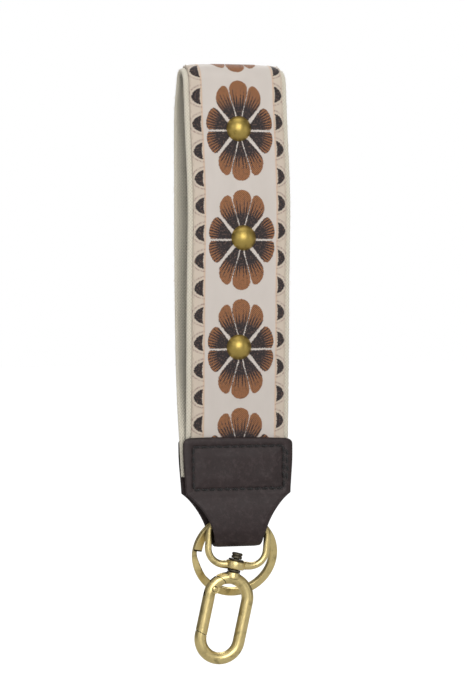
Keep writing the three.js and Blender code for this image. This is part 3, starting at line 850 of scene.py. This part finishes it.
RIBBON = ribbon_material()
WEBBING = webbing_material()
FIBRES = fibre_material()
LEATHER = leather_material()
EDGE_PAINT = edge_paint_material()
DARK_THREAD = thread_material("dark_thread", linear(0.03, 0.02, 0.02), linear(0.09, 0.065, 0.065))
PALE_THREAD = thread_material("pale_thread", linear(0.82, 0.76, 0.68), linear(0.90, 0.86, 0.80))
BRASS_LOOK = dict(
    bright=linear(0.96, 0.875, 0.63), deep=linear(0.85, 0.77, 0.53), tarnish=linear(0.20, 0.165, 0.11),
    roughness=0.24, darkening=1.0, reach=3.2,
)
BRASS = brass_material("antique_brass", **BRASS_LOOK)
RING_BRASS = brass_material("ring_brass", dark_end=0.75, **BRASS_LOOK)
STUD_BRASS = brass_material(
    "golden_brass", linear(0.80, 0.70, 0.40), linear(0.69, 0.59, 0.31), linear(0.29, 0.235, 0.12),
    roughness=0.29, darkening=0.6, reach=1.2,
)
DARK_BRASS = brass_material(
    "blackened_brass", linear(0.46, 0.43, 0.36), linear(0.30, 0.28, 0.24), linear(0.11, 0.10, 0.085),
    roughness=0.30, darkening=0.8, reach=1.0,
)
STEEL = steel_material()


# ---- Strap ----
def band(depths, half, stations, outer, inner, relief, edge_steps):
    """A closed band of the strap between two depths, with round edges and ends drawn in."""
    half_thick = (depths[1] - depths[0]) / 2
    middle = (depths[0] + depths[1]) / 2
    arc_turns = np.linspace(90, -90, edge_steps + 2)[1:-1]
    cos, sin = np.cos(np.radians(arc_turns)), np.sin(np.radians(arc_turns))
    reach = half - half_thick
    turn = reach + half_thick * cos
    x = np.concatenate([outer * reach, turn, inner[::-1] * reach, -turn])
    lift = np.concatenate([np.ones(len(outer)), sin, -np.ones(len(inner)), -sin]) * half_thick
    thin = round_end(np.minimum(stations, stations[-1] - stations), half_thick)
    xs = np.broadcast_to(x, (len(stations), len(x)))
    ss = np.broadcast_to(stations[:, None], xs.shape)
    rise = relief(xs, ss, lift / half_thick) * thin[:, None]
    places = on_strap(xs, ss, middle - lift * thin[:, None] - np.sign(lift) * rise)
    return Part().grid(places, closed_up(xs), closed_up(ss), wrap=True)


def strap_stations(spacing):
    """Distances along the strap, evenly spaced, from its front end to its back end."""
    end = ROUTE.length - BACK_END_SHORT
    return np.linspace(0, end, round(end / spacing))


def denser_at_edges(count, share):
    """Numbers from -1 to 1, closer together at both ends."""
    even = np.linspace(-1, 1, count)
    return (1 - share) * even + share * np.sin(even * math.pi / 2)


def make_webbing():
    stations = strap_stations(0.42)

    def relief(x, s, facing):
        phase_x = np.cos(2 * math.pi * x / YARN_ACROSS)
        phase_s = np.cos(2 * math.pi * s / YARN_ALONG)
        selvedge = ramp(np.abs(x), WEBBING_HALF - 1.4, WEBBING_HALF - 0.4)
        knots = 0.5 * np.cos(2 * math.pi * s / YARN_ALONG + (x > 0) * 1.3) + 0.15 * np.cos(s * 2.1)
        return YARN_RELIEF * (phase_x * phase_s * (1 - selvedge) + knots * selvedge)

    part = band(
        WEBBING_DEPTHS, WEBBING_HALF, stations, denser_at_edges(40, 0.8), denser_at_edges(92, 0.35),
        relief, edge_steps=7,
    )
    webbing = finished(
        new_object("webbing_strap", part), "strap", [WEBBING], ["strap_webbing"], sharp=80
    )


def make_ribbon():
    stations = strap_stations(0.3)

    def relief(x, s, facing):
        petals, _ = flower(x, s - FLOWER_AT)
        moon, line = border(x, s - FLOWER_AT)
        rim = ramp(np.abs(x), RIBBON_HALF - 0.9, RIBBON_HALF)
        ridge = 1 - ramp(np.abs(np.abs(x - BORDER_SHIFT) - BAND_HALF), 0.1, 0.7)
        pull = 0.05 * np.cos(2 * math.pi * s / 2.9) * rim
        raised = 0.10 * petals + 0.14 * moon + 0.06 * line + 0.09 * ridge
        return np.where(facing > 0.1, raised - 0.25 * rim + pull, 0)

    part = band(
        RIBBON_DEPTHS, RIBBON_HALF, stations, np.linspace(-1, 1, 122), np.linspace(-1, 1, 9),
        relief, edge_steps=4,
    )
    ribbon = finished(
        new_object("woven_ribbon", part), "strap", [RIBBON], ["jacquard_ribbon"], sharp=80
    )


def thread_along(part, points, ply, turns, sides):
    """Two plies, each of radius ply, twisted that many turns round a line."""
    points = respaced(np.asarray(points, float), 15)
    heading = unit_rows(np.gradient(points, axis=0))
    side = unit_rows(np.cross(heading, [0.3, 0.9, 0.2]))
    up = np.cross(heading, side)
    twist = np.linspace(0, turns * 2 * math.pi, len(points))[:, None]
    taper = np.sqrt(np.clip(1 - np.abs(np.linspace(-1, 1, len(points))) ** 8, 0.1, 1))
    section = circle(1, sides)[None] * (ply * 1.15 * taper)[:, None, None]
    for start in (0, math.pi):
        strand = points + ply * (side * np.cos(twist + start) + up * np.sin(twist + start))
        swept(strand, section, part)


def make_ribbon_stitches():
    """Pale stitches that sew both edges of the ribbon down."""
    part = Part()
    pitch, length, line = 3.2, 2.5, RIBBON_HALF - 0.4
    for side in (-1, 1):
        start = 20.0
        while start < ROUTE.length - 20:
            along = start + np.linspace(0, length, 7)
            dip = 0.12 - 0.3 * np.sin(np.linspace(0, math.pi, 7)) ** 0.7
            across = np.full(7, side * line)
            thread_along(part, on_strap(across, along, dip), ply=0.065, turns=1.4, sides=5)
            start += pitch
    finished(new_object("ribbon_edge_stitches", part), "strap", [PALE_THREAD], sharp=70)


def make_fibres():
    """Loose cotton fibres that stand off both edges of the webbing."""
    rng = random.Random(11)
    part = Part()
    for _ in range(FIBRES_LOOSE):
        side = rng.choice((-1, 1))
        s = rng.uniform(16, ROUTE.length - 16)
        depth = rng.uniform(*WEBBING_DEPTHS)
        length = rng.uniform(0.35, 1.3)
        lean = rng.uniform(-1.2, 1.2)
        curl = rng.uniform(-0.9, 0.9)
        t = np.linspace(0, 1, 5)
        across = side * (WEBBING_HALF - 0.25 + length * 0.62 * t)
        along = s + length * (lean * t + curl * t**2)
        deep = depth + rng.uniform(-0.5, 0.5) * length * t**2
        line = on_strap(across, along, deep)
        swept(line, circle(1, 3)[None] * (FIBRE_R * (1 - 0.6 * t))[:, None, None], part)
    finished(new_object("webbing_fibres", part), "strap", [FIBRES], sharp=180)


def stud_frame(x, s):
    """The place of a stud on the strap: its Z stands out of the strap's face."""
    _, _, ny, nz = ROUTE.at(s)
    out = Vector((0, float(ny), float(nz)))
    along = Vector((0, float(-nz), float(ny)))
    place = Vector(on_strap(np.array(x), np.array(s), np.array(0.0))) * MM
    return Matrix.Translation(place) @ Matrix((Vector((1, 0, 0)), along, out)).transposed().to_4x4()


def make_studs():
    """Domes on the printed face, each with its clinched plate inside the loop."""
    sphere = (STUD_R**2 + STUD_HEIGHT**2) / (2 * STUD_HEIGHT)
    edge = math.asin(STUD_R / sphere)
    dome = [
        (0, -2.0), (1.1, -2.0), (1.1, 0.02), (STUD_R - 0.35, 0.02), (STUD_R - 0.1, 0.06),
        (STUD_R, STUD_LIP),
    ]
    for k in range(1, 19):
        turn = edge * (1 - k / 18)
        dome.append((sphere * math.sin(turn), STUD_LIP + STUD_HEIGHT - sphere * (1 - math.cos(turn))))
    low = -WEBBING_DEPTHS[1]
    base = [
        (0, low + 0.02), (STUD_BASE_R - 0.2, low + 0.02), (STUD_BASE_R, low - 0.15),
        (STUD_BASE_R, low - 0.3), (STUD_BASE_R - 0.25, low - 0.52), (STUD_BASE_R - 0.9, low - 0.62),
        (1.7, low - 0.58),
        (1.35, low - 0.45), (1.15, low - 0.62), (0.85, low - 0.86), (0.4, low - 0.92), (0, low - 0.93),
    ]
    for stud, (x, s) in STUD_AT.items():
        place = stud_frame(x, s)
        front = moved(new_object("stud_dome_" + stud, turned(dome, 56)), place)
        finished(front, "strap", [STUD_BRASS], ["stud_cap_" + stud], sharp=50)
        back = moved(new_object("stud_plate_" + stud, turned(base, 40)), place)
        finished(back, "strap", [STUD_BRASS], ["stud_base_" + stud], sharp=50)


# ---- Leather chape ----
def chape_line():
    """Middle layer of the folded leather in side view, down the front, round the fold, up the back."""
    fold_z = CHAPE_TOP_Z - CHAPE_LENGTH + LEATHER_THICK / 2 + CHAPE_FOLD_R
    sides = {}
    for side, pocket in CHAPE_POCKET_Y.items():
        points = [
            (CHAPE_FLAT_Y, CHAPE_FLAT_END_Z),
            (CHAPE_FLAT_Y + 0.35, CHAPE_FLAT_END_Z - 2.4),
            (pocket, CHAPE_FLAT_END_Z - 6.4),
            (pocket, fold_z + 1.6),
            ((pocket + CHAPE_FOLD_R) / 2, fold_z + 0.2),
        ]
        for turn in np.radians(np.arange(-18, -91, -18)):
            points.append((CHAPE_FOLD_R * math.cos(turn), fold_z + CHAPE_FOLD_R * math.sin(turn)))
        flat = [(CHAPE_FLAT_Y, z) for z in np.linspace(CHAPE_TOP_Z, CHAPE_FLAT_END_Z, 60)[:-1]]
        sides[side] = np.vstack([flat, smooth_curve(points, 130)])
    front = sides["front"] * [-1, 1]
    line = np.vstack([front, sides["back"][::-1][1:]])
    return respaced(line, int(2.4 * CHAPE_LENGTH / 0.3))


def chape_half_width(z):
    """Half the chape's width at a height, with its taper to the ring."""
    t = np.linspace(0, 1, 60)
    low = (CHAPE_TIP_HALF, CHAPE_TOP_Z - CHAPE_LENGTH - 1)
    high = (CHAPE_HALF, CHAPE_TAPER_START_Z)
    x, height = (
        (1 - t) ** 2 * low[k] + 2 * t * (1 - t) * CHAPE_TAPER_BEND[k] + t**2 * high[k] for k in (0, 1)
    )
    return np.interp(z, height, x) + CHAPE_FLARE * ramp(z, CHAPE_TAPER_START_Z - 3, CHAPE_TOP_Z - 5)


def stitch_distance(x, z):
    """Distance from the stitched rectangle, negative inside it."""
    half_x, half_z = STITCH_BOX[0] / 2, STITCH_BOX[1] / 2
    return np.maximum(np.abs(x) - half_x, np.abs(z - STITCH_CENTRE_Z) - half_z)


def leather_relief(x, z):
    """How far the leather stands out of the flat: padded inside the stitches, pressed in along them."""
    gap = stitch_distance(x, z)
    inside = ramp(-gap, 0.3, 4.5)
    lumps = 0.10 * np.sin(x / 3.3 + 1.0) * np.sin(z / 2.9 + 0.4) + 0.07 * np.sin(x / 1.7 + z / 4.1)
    groove = np.exp(-((gap / GROOVE_WIDTH) ** 2))
    beside = np.exp(-(((gap - 1.9) / 0.9) ** 2)) * 0.08
    low = ramp(CHAPE_FLAT_END_Z - 1 - z, 0, 5)
    return PUFF * inside + lumps * (0.35 + 0.65 * inside) + beside - GROOVE_DEPTH * groove + 0.06 * low


def make_chape():
    line = chape_line()
    far = distances(line)
    heading = unit_rows(np.gradient(line, far, axis=0))
    facing = np.stack([heading[:, 1], -heading[:, 0]], axis=1)
    end = np.minimum(far, far[-1] - far)
    half_thick = LEATHER_THICK / 2
    thin = round_end(end, half_thick)
    thick = half_thick * (0.72 + 0.28 * ramp(end, 0, 1.6)) * thin
    corner = CHAPE_CORNER_R - np.clip(end, 0, CHAPE_CORNER_R)
    width = chape_half_width(line[:, 1])
    width = width - CHAPE_CORNER_R + np.sqrt(CHAPE_CORNER_R**2 - corner**2)
    columns = denser_at_edges(124, 0.3)
    turns = np.radians(np.linspace(90, -90, 9)[1:-1])
    rim = half_thick * RIM_THICK
    reach = (width - rim)[:, None]
    right, left = reach + rim * np.cos(turns), -reach - rim * np.cos(turns[::-1])
    x = np.concatenate([reach * columns, right, reach * columns[::-1], left], axis=1)
    sides = np.concatenate([np.ones(len(columns)), np.sin(turns), -np.ones(len(columns)), -np.sin(turns)])
    kinds = (np.abs(sides) < 0.98).astype(int)
    z = np.broadcast_to(line[:, 1:], x.shape)
    front = np.broadcast_to((sides > 0.5).astype(float), x.shape)
    to_rim = reach - np.abs(x)
    soften = 0.16 * np.exp(-(to_rim.clip(min=0) / 0.9) ** 2)
    upright = np.broadcast_to(np.abs(facing[:, :1]) ** 6, x.shape)
    sink = (leather_relief(x, z) * upright - soften) * front * thin[:, None]
    offset = thick[:, None] * sides + sink
    droop = (0.35 * (np.abs(x) / CHAPE_HALF) ** 3 + 0.018 * x) * np.exp(-end / 3.0)[:, None]
    y = line[:, :1] + facing[:, :1] * offset
    places = np.stack([x + CHAPE_SHIFT, y, z + facing[:, 1:] * offset - droop], axis=-1)
    u = closed_up(x)
    v = np.broadcast_to(far[:, None], u.shape)
    chape = new_object("leather_wrap", Part().grid(places, u, v, wrap=True, kinds=kinds))
    finished(chape, "strap", [LEATHER, EDGE_PAINT], ["leather_chape"], sharp=75)


def leather_face_y(x, z):
    return CHAPE_FLAT_Y + LEATHER_THICK / 2 + leather_relief(np.asarray(x, float), np.asarray(z, float))


def stitch_on_leather(part, start, end, side):
    """One stitch between two holes, given as x and z."""
    t = np.linspace(0, 1, 9)
    x = start[0] + (end[0] - start[0]) * t
    z = start[1] + (end[1] - start[1]) * t
    lift = 0.36 * np.sin(math.pi * t) ** 0.6 - 0.3 * (np.abs(2 * t - 1) ** 6)
    y = leather_face_y(x, z) + lift
    thread_along(part, np.stack([x + CHAPE_SHIFT, side * y, z], axis=1), ply=0.2, turns=1.7, sides=8)


def make_leather_stitches(side, label):
    rng = random.Random(5 if side < 0 else 6)
    part = Part()
    half_x, half_z = STITCH_BOX[0] / 2, STITCH_BOX[1] / 2
    low, high = STITCH_CENTRE_Z - half_z, STITCH_CENTRE_Z + half_z
    corners = [(-half_x, high), (half_x, high), (half_x, low), (-half_x, low)]
    for first, last in zip(corners, corners[1:] + corners[:1]):
        long = math.dist(first, last)
        count = round(long / STITCH_PITCH)
        way = (np.array(last) - np.array(first)) / long
        across = np.array([-way[1], way[0]])
        for k in range(count):
            centre = np.array(first) + way * long * (k + 0.5) / count
            slant = across * rng.uniform(-0.16, 0.16)
            reach = way * STITCH_LENGTH / 2 * rng.uniform(0.92, 1.05)
            stitch_on_leather(part, centre - reach - slant, centre + reach + slant, side)
    for k in range(SECOND_ROW):
        z = high - 1.6 - k * STITCH_PITCH
        x = half_x + 1.25 + rng.uniform(-0.1, 0.1)
        stitch_on_leather(part, (x, z), (x + rng.uniform(-0.2, 0.2), z - 1.9), side)
    stitches = new_object("leather_stitches_" + label, part)
    finished(stitches, "strap", [DARK_THREAD], ["chape_stitching_" + label], sharp=70)


# ---- Split ring ----
def ring_section():
    """The ring's flat wire cut across: round corners and slightly bulging faces."""
    a, b, r = RING_WIRE_THICK / 2, RING_BAND / 2, RING_CORNER_R
    section = []
    for side, end, start in ((1, 1, 0), (-1, 1, 90), (-1, -1, 180), (1, -1, 270)):
        for turn in np.radians(np.linspace(start, start + 90, 5)):
            section.append((side * (a - r) + r * math.cos(turn), end * (b - r) + r * math.sin(turn)))
    section = np.array(section)
    section[:, 0] += np.sign(section[:, 0]) * RING_CROWN * (1 - (section[:, 1] / b) ** 2)
    fine = []
    for first, last in zip(section, np.roll(section, -1, 0)):
        count = max(1, int(math.dist(first, last) / 0.35))
        fine += [first + (last - first) * k / count for k in range(count)]
    fine = np.array(fine)
    most_out = a + RING_CROWN * (1 - (fine[:, 1] / b) ** 2)
    fine[:, 0] = np.sign(fine[:, 0]) * np.minimum(np.abs(fine[:, 0]), most_out)
    return fine


def make_ring():
    turned_by = np.linspace(0, RING_SWEEP, 520)
    angle = RING_START - turned_by
    jog = ramp(turned_by, 2 * math.pi - RING_JOG, 2 * math.pi - 0.04)
    y = (jog - 0.5) * RING_COIL_STEP
    points = np.stack([RING_R * np.cos(angle), y, RING_R * np.sin(angle)], axis=1)
    behind = np.exp(-(((turned_by - 2 * math.pi + 0.03) / RING_GROUND) ** 2))
    at_end = np.exp(-((turned_by / RING_GROUND) ** 2))
    width = 1 - RING_NARROW * behind + RING_END_SPREAD * at_end
    sections = np.repeat(ring_section()[None], len(points), axis=0)
    rim = RING_BAND / 2
    sections[..., 1] = rim - (rim - sections[..., 1]) * width[:, None]
    ring = new_object("split_ring", swept(points, sections))
    eased(ring, 0.14, 60)
    lean = Matrix.Rotation(RING_LEAN, 4, "X")
    down = Matrix.Translation((0, 0, -RING_R * MM))
    moved(ring, Matrix.Translation(Vector(RING_TOP) * MM) @ lean @ down)
    finished(ring, "ring", [RING_BRASS], ["key_ring"], sharp=50)


# ---- Clasp ----
JOINTS = {joint["name"]: joint for joint in frame["joints"]}
HOOK_AT = Vector(JOINTS["hook_swivel"]["pos_m"])
HOOK_AXIS = Vector(JOINTS["hook_swivel"]["axis"])
HOOK_TILT = math.atan2(HOOK_AXIS.x, HOOK_AXIS.z)
HOOK_PLACE = Matrix.Translation(HOOK_AT) @ Matrix.Rotation(HOOK_TILT, 4, "Y")
PIVOT = HOOK_PLACE.inverted() @ Vector(JOINTS["gate_hinge"]["pos_m"]) / MM
LAID_DOWN = Matrix.Rotation(math.radians(-90), 4, "X")  # turns Z into Y


def in_plane(u, w):
    """Moves a thing to a place in the hook's plane."""
    return Matrix.Translation((u * MM, 0, w * MM))


def eye_path():
    """Middle line of the eye's wire, from one side of its boss round to the other."""
    half, top = EYE_HALF, EYE_HEIGHT
    low, high, start = EYE_LOWER_R, EYE_UPPER_R, BOSS_R - 1.2
    path = [(start, 0)] + straight((start, 0), (half - low, 0))
    path += arc((half - low, low), low, -90, 0) + straight((half, low), (half, top - high))
    path += arc((half - high, top - high), high, 0, 90) + straight((half - high, top), (-half + high, top))
    path += arc((-half + high, top - high), high, 90, 180) + straight((-half, top - high), (-half, low))
    path += arc((-half + low, low), low, 180, 270) + straight((-half + low, 0), (-start, 0))
    path.append((-start, 0))
    return respaced(np.array(path, float), 150) + [EYE_SHIFT, 0]


def make_eye():
    path = eye_path()
    share = np.linspace(0, 1, len(path))
    to_boss = np.minimum(share, 1 - share) * (4 * EYE_HALF + 2 * EYE_HEIGHT)
    wire = EYE_WIRE_R * (1 + EYE_SWELL * np.exp(-((to_boss / EYE_SWELL_LENGTH) ** 2)))
    eye = new_object("clasp_eye", swept(flat_line(path), circle(1, 32)[None] * wire[:, None, None]))
    lean = Matrix.Rotation(HOOK_TILT - EYE_TILT, 4, "Y")
    h, bevel = BOSS_HEIGHT / 2, 0.35
    upper = [(BOSS_R, h - bevel), (BOSS_R - bevel, h), (0, h)]
    boss = [(radius, -z) for radius, z in reversed(upper)] + [(BOSS_R + 0.08, 0)] + upper
    combined(eye, moved(new_object("boss", turned(boss, 64)), lean), "UNION")
    combined(eye, moved(rod(BOSS_BORE_R, -3, 3, sides=48), lean), "DIFFERENCE")
    changed(eye, kind="REMESH", mode="VOXEL", voxel_size=EYE_VOXEL * MM)
    changed(eye, kind="SMOOTH", factor=0.5, iterations=9)
    place = Matrix.Translation(HOOK_PLACE @ Vector((0, 0, BOSS_LIFT * MM)))
    moved(eye, place @ Matrix.Rotation(EYE_TILT, 4, "Y"))
    finished(eye, "eye", [BRASS], ["swivel_eye"], sharp=70)


def hook_wire(name, path):
    """The round wire of the hook and the gate, along a stretch of their long oval."""
    line = flat_line(respaced(np.array(path, float), 180))
    return new_object(name, swept(line, circle(HOOK_WIRE_R, 48)))


def gate_zone(margin):
    """The part of the hook's plane that belongs to the gate, grown or shrunk by a margin."""
    radius = GATE_TOP_R + margin
    u, w = PIVOT.x, PIVOT.z

    def cut(at):
        return GATE_CUT_W + GATE_CUT_SLOPE * (at + HOOK_ARCH_R) - margin

    points = arc((u, w), radius, 0, 180) + [(at, cut(at)) for at in (u - radius, u + radius)]
    return new_object("zone", extruded(points, -5, 5))


def rod(radius, low, high, at=(0, 0), laid=False, sides=40):
    """A cylinder through a place in the hook's plane: along Z, or laid along Y."""
    thing = new_object("rod", turned([(0, low), (radius, low), (radius, high), (0, high)], sides))
    if laid:
        moved(thing, LAID_DOWN)
    return moved(thing, in_plane(*at))


def make_hook_body():
    r, low = HOOK_ARCH_R, -HOOK_STRAIGHT
    lower = straight((-r, low + 4), (-r, low)) + arc((0, low), r, 180, 360)
    upper = straight((r, low), (r, 0)) + arc((0, 0), r, 0, 150)
    hook = hook_wire("clasp_hook", lower + upper)
    foot = NECK_R + 0.3
    neck = [
        (0, r), (foot, r), (foot, r + 1.3), (NECK_R, r + 1.8), (NECK_R, NECK_TOP - 0.2),
        (NECK_R - 0.2, NECK_TOP), (0, NECK_TOP),
    ]
    combined(hook, new_object("neck", turned(neck, 56)), "UNION")
    combined(hook, gate_zone(SEAM / 2), "DIFFERENCE")
    u, w = PIVOT.x, PIVOT.z
    reach = GATE_TOP_R + 1.4
    points = arc((u, w), LUG_R, 170, 400, 6) + [(u + 2.6, w + reach - 1.2), (u + 0.6, w + reach - 1.1)]
    tongue = new_object("tongue", extruded(points, -TONGUE_THICK / 2, TONGUE_THICK / 2))
    combined(hook, tongue, "UNION")
    combined(hook, rod(BORE_R, 5.9, 20), "DIFFERENCE")
    combined(hook, rod(RIVET_R + RIVET_GAP, -4, 4, (u, w), laid=True), "DIFFERENCE")
    eased(hook, CUT_EDGE_R)
    moved(hook, HOOK_PLACE)
    finished(hook, "hook", [BRASS], ["hook_body"], sharp=38)


def make_gate():
    r, low = HOOK_ARCH_R, -HOOK_STRAIGHT
    at = (PIVOT.x, PIVOT.z)
    gate = hook_wire("clasp_gate", arc((0, 0), r, 100, 180) + straight((-r, 0), (-r, low)) + [(-r, low)])
    combined(gate, gate_zone(-SEAM / 2), "INTERSECT")
    combined(gate, rod(LUG_R, -LUG_HALF_THICK, LUG_HALF_THICK, at, laid=True), "UNION")
    for near, far in ((LUG_HALF_THICK, 4), (-4, -LUG_HALF_THICK)):
        combined(gate, rod(RIVET_HEAD_R + HEAD_GAP[0], near, far, at, laid=True), "DIFFERENCE")
    slot = [(-12, SLOT_END_W), (2, SLOT_END_W), (2, 8), (SLOT_WALL_U, 8), (SLOT_WALL_U, 1.2), (-12, 0.6)]
    combined(gate, new_object("slot", extruded(slot, -SLOT_THICK / 2, SLOT_THICK / 2)), "DIFFERENCE")
    combined(gate, rod(BORE_R, SLOT_END_W - SPRING_BORE_DEPTH, SLOT_END_W + 1, (-r, 0)), "DIFFERENCE")
    combined(gate, rod(RIVET_R + RIVET_GAP, -4, 4, at, laid=True), "DIFFERENCE")
    eased(gate, CUT_EDGE_R)
    moved(gate, HOOK_PLACE)
    finished(gate, "gate", [BRASS], ["hook_gate"], sharp=38)


def make_seam_shade():
    """A dark disc in the gap where the gate shuts: painted shade that shows as the dark line between gate
    and hook.
    """
    half = SEAM / 2 - 0.01
    disc = new_object("gate_catch", turned([(0, -half), (SEAM_SHADE_R, -half), (SEAM_SHADE_R, half), (0, half)], 48))
    moved(disc, Matrix.Rotation(-math.atan(GATE_CUT_SLOPE), 4, "Y"))
    moved(disc, HOOK_PLACE @ in_plane(-HOOK_ARCH_R, GATE_CUT_W))
    # Painted shade: the dark material makes the seam read as a dark line.
    finished(disc, "hook", [DARK_BRASS])


def make_rivet():
    end = LUG_HALF_THICK + HEAD_GAP[1]
    profile = [(0, -end - RIVET_HEAD_HEIGHT)]
    for turn in np.radians([18, 36, 54, 70, 82]):
        profile.append((RIVET_HEAD_R * math.sin(turn), -end - RIVET_HEAD_HEIGHT * math.cos(turn)))
    profile += [(RIVET_HEAD_R, -end), (RIVET_R, -end)]
    profile += [(radius, -height) for radius, height in reversed(profile)]
    rivet = moved(new_object("gate_rivet", turned(profile, 40)), LAID_DOWN)
    moved(rivet, HOOK_PLACE @ in_plane(PIVOT.x, PIVOT.z))
    finished(rivet, "hook", [BRASS], ["gate_pin"], sharp=50)


def make_swivel():
    """The pin through the eye's boss, its washer above and its collar below."""
    washer_low = BOSS_LIFT + BOSS_HEIGHT / 2 + 0.08
    shoulder = washer_low + 0.75
    head = shoulder + 2.3
    pin = [
        (0, 6.1), (1, 6.1), (1, shoulder), (1.75, shoulder), (1.95, shoulder + 0.2),
        (1.95, shoulder + 0.95), (1.68, shoulder + 1.1), (1.68, shoulder + 1.25), (1.95, shoulder + 1.4),
        (1.95, head - 0.35),
        (1.6, head - 0.05), (0.9, head - 0.02), (0.6, head - 0.3), (0, head - 0.34),
    ]
    washer = [
        (1.1, washer_low), (2.65, washer_low), (2.8, washer_low + 0.15), (2.8, washer_low + 0.45),
        (2.65, washer_low + 0.6), (1.1, washer_low + 0.6), (1.1, washer_low),
    ]
    low = NECK_TOP + 0.1
    collar = [
        (1.1, low), (2.2, low), (2.4, low + 0.2), (2.4, low + 0.75), (2.2, low + 0.95), (1.1, low + 0.95),
        (1.1, low),
    ]
    rows = (
        ("swivel_stud", pin, "swivel_pin"),
        ("swivel_disc", washer, "swivel_washer"),
        ("swivel_bush", collar, "swivel_collar"),
    )
    for name, profile, node in rows:
        thing = moved(new_object(name, turned(profile, 48)), HOOK_PLACE)
        finished(thing, "hook", [DARK_BRASS], [node], sharp=40)


def make_spring():
    """The coil in the gate's bore, and the plunger that it pushes up."""
    floor = SLOT_END_W - SPRING_BORE_DEPTH + SPRING_WIRE_R + 0.1
    t = np.linspace(0, 1, 220)
    angle = 2 * math.pi * SPRING_TURNS * t
    x, y = SPRING_R * np.cos(angle) - HOOK_ARCH_R, SPRING_R * np.sin(angle)
    line = np.stack([x, y, floor + SPRING_LENGTH * t], axis=1)
    spring = moved(new_object("gate_coil", swept(line, circle(SPRING_WIRE_R, 10))), HOOK_PLACE)
    finished(spring, "gate", [STEEL], ["gate_spring"])
    low = floor + SPRING_LENGTH + 0.3
    profile = [
        (0, low), (0.8, low), (0.9, low + 0.1), (0.9, low + 0.9), (0.75, low + 1.25), (0.45, low + 1.45),
        (0, low + 1.5),
    ]
    plunger = moved(new_object("gate_follower", turned(profile, 32)), in_plane(-HOOK_ARCH_R, 0))
    moved(plunger, HOOK_PLACE)
    finished(plunger, "gate", [STEEL], ["gate_plunger"])


# ---- Camera, light and floor ----
CAMERA_TURN = math.radians(-14.5)
CAMERA_ROLL = math.radians(-0.67)
CAMERA_DISTANCE = 0.9
CAMERA_AIM = Vector((0.0001, 0, -0.1019))
FLOOR_GAP = 18  # mm under the clasp, which hangs free
FLOOR_SEEN = 1.0  # how bright the floor looks to the camera
FLOOR_LIGHT = 0.34  # how much it lights the object
VIEW_HEIGHT = 0.2562  # height that the camera takes in at the object's distance
SENSOR = 36


def make_camera():
    data = bpy.data.cameras.new("camera")
    data.sensor_width = SENSOR
    data.lens = SENSOR * CAMERA_DISTANCE / VIEW_HEIGHT
    camera = in_scene("camera", data)
    back = Vector((math.sin(CAMERA_TURN), -math.cos(CAMERA_TURN), 0))
    camera.location = CAMERA_AIM + back * CAMERA_DISTANCE
    level = (-back).to_track_quat("-Z", "Y").to_matrix().to_4x4()
    camera.rotation_euler = (level @ Matrix.Rotation(CAMERA_ROLL, 4, "Z")).to_euler()
    data.clip_start = 0.01
    bpy.context.scene.camera = camera


def make_light(name, place, energy, size_x, size_y):
    data = bpy.data.lights.new(name, "AREA")
    data.shape = "RECTANGLE"
    data.size, data.size_y = size_x, size_y
    data.energy = energy
    light = in_scene(name, data)
    light.location = place
    light.rotation_euler = (CAMERA_AIM - Vector(place)).to_track_quat("-Z", "Y").to_euler()


def make_world():
    """White to the camera, and a softer grey all round, paler above, for light and reflections."""
    world = bpy.data.worlds.new("studio")
    bpy.context.scene.world = world
    world.use_nodes = True
    tree = world.node_tree
    tree.nodes.clear()
    place = add_node(tree, "TexCoord").outputs["Generated"]
    height = add_node(tree, "SeparateXYZ", {0: place}).outputs[2]
    fade = add_node(tree, "MapRange", {
        "Value": height, "From Min": -0.1, "From Max": 0.9, "To Min": 0.07, "To Max": 0.40,
    })
    around = add_node(tree, "Background", {"Strength": fade.outputs[0]})
    seen = add_node(tree, "Background", {"Color": (1, 1, 1, 1), "Strength": 1.0})
    ray = add_node(tree, "LightPath").outputs["Is Camera Ray"]
    mix = add_node(tree, "MixShader", {0: ray, 1: around.outputs[0], 2: seen.outputs[0]})
    add_node(tree, "OutputWorld", {0: mix.outputs[0]})


def make_floor():
    data = bpy.data.meshes.new("floor")
    half, z = 20, CAD_LOW.z - FLOOR_GAP * MM
    corners = [(-half, -half, z), (half, -half, z), (half, half, z), (-half, half, z)]
    data.from_pydata(corners, [], [(0, 1, 2, 3)])
    floor = in_scene("floor", data)
    shader = Shader("pale_floor", Roughness=0.8)
    seen = Wire(shader.tree, shader.add("LightPath").outputs["Is Camera Ray"])
    shader.give("Emission Strength", seen * (FLOOR_SEEN - FLOOR_LIGHT) + FLOOR_LIGHT)
    shader.colour((0.2, 0.2, 0.2, 1))
    shader.give("Emission Color", (1, 1, 1, 1))
    floor.data.materials.append(shader.material)


make_camera()
make_world()
make_floor()
make_light("key", (-0.1, -1.0, 0.25), 6.6, 0.7, 0.7)
make_light("left", (-0.75, -0.55, 0.2), 0.8, 0.2, 0.7)
make_light("fill", (0.75, -0.5, -0.05), 0.7, 0.3, 0.7)
make_light("top", (0.0, -0.1, 0.75), 1.4, 0.6, 0.6)
make_light("back", (0.25, 0.75, 0.75), 4.4, 0.6, 0.4)
bpy.context.scene.view_settings.view_transform = "Standard"

make_webbing()
make_ribbon()
make_ribbon_stitches()
make_fibres()
make_studs()
make_chape()
make_leather_stitches(-1, "front")
make_leather_stitches(1, "back")
make_ring()
make_eye()
make_hook_body()
make_gate()
make_seam_shade()
make_rivet()
make_swivel()
make_spring()
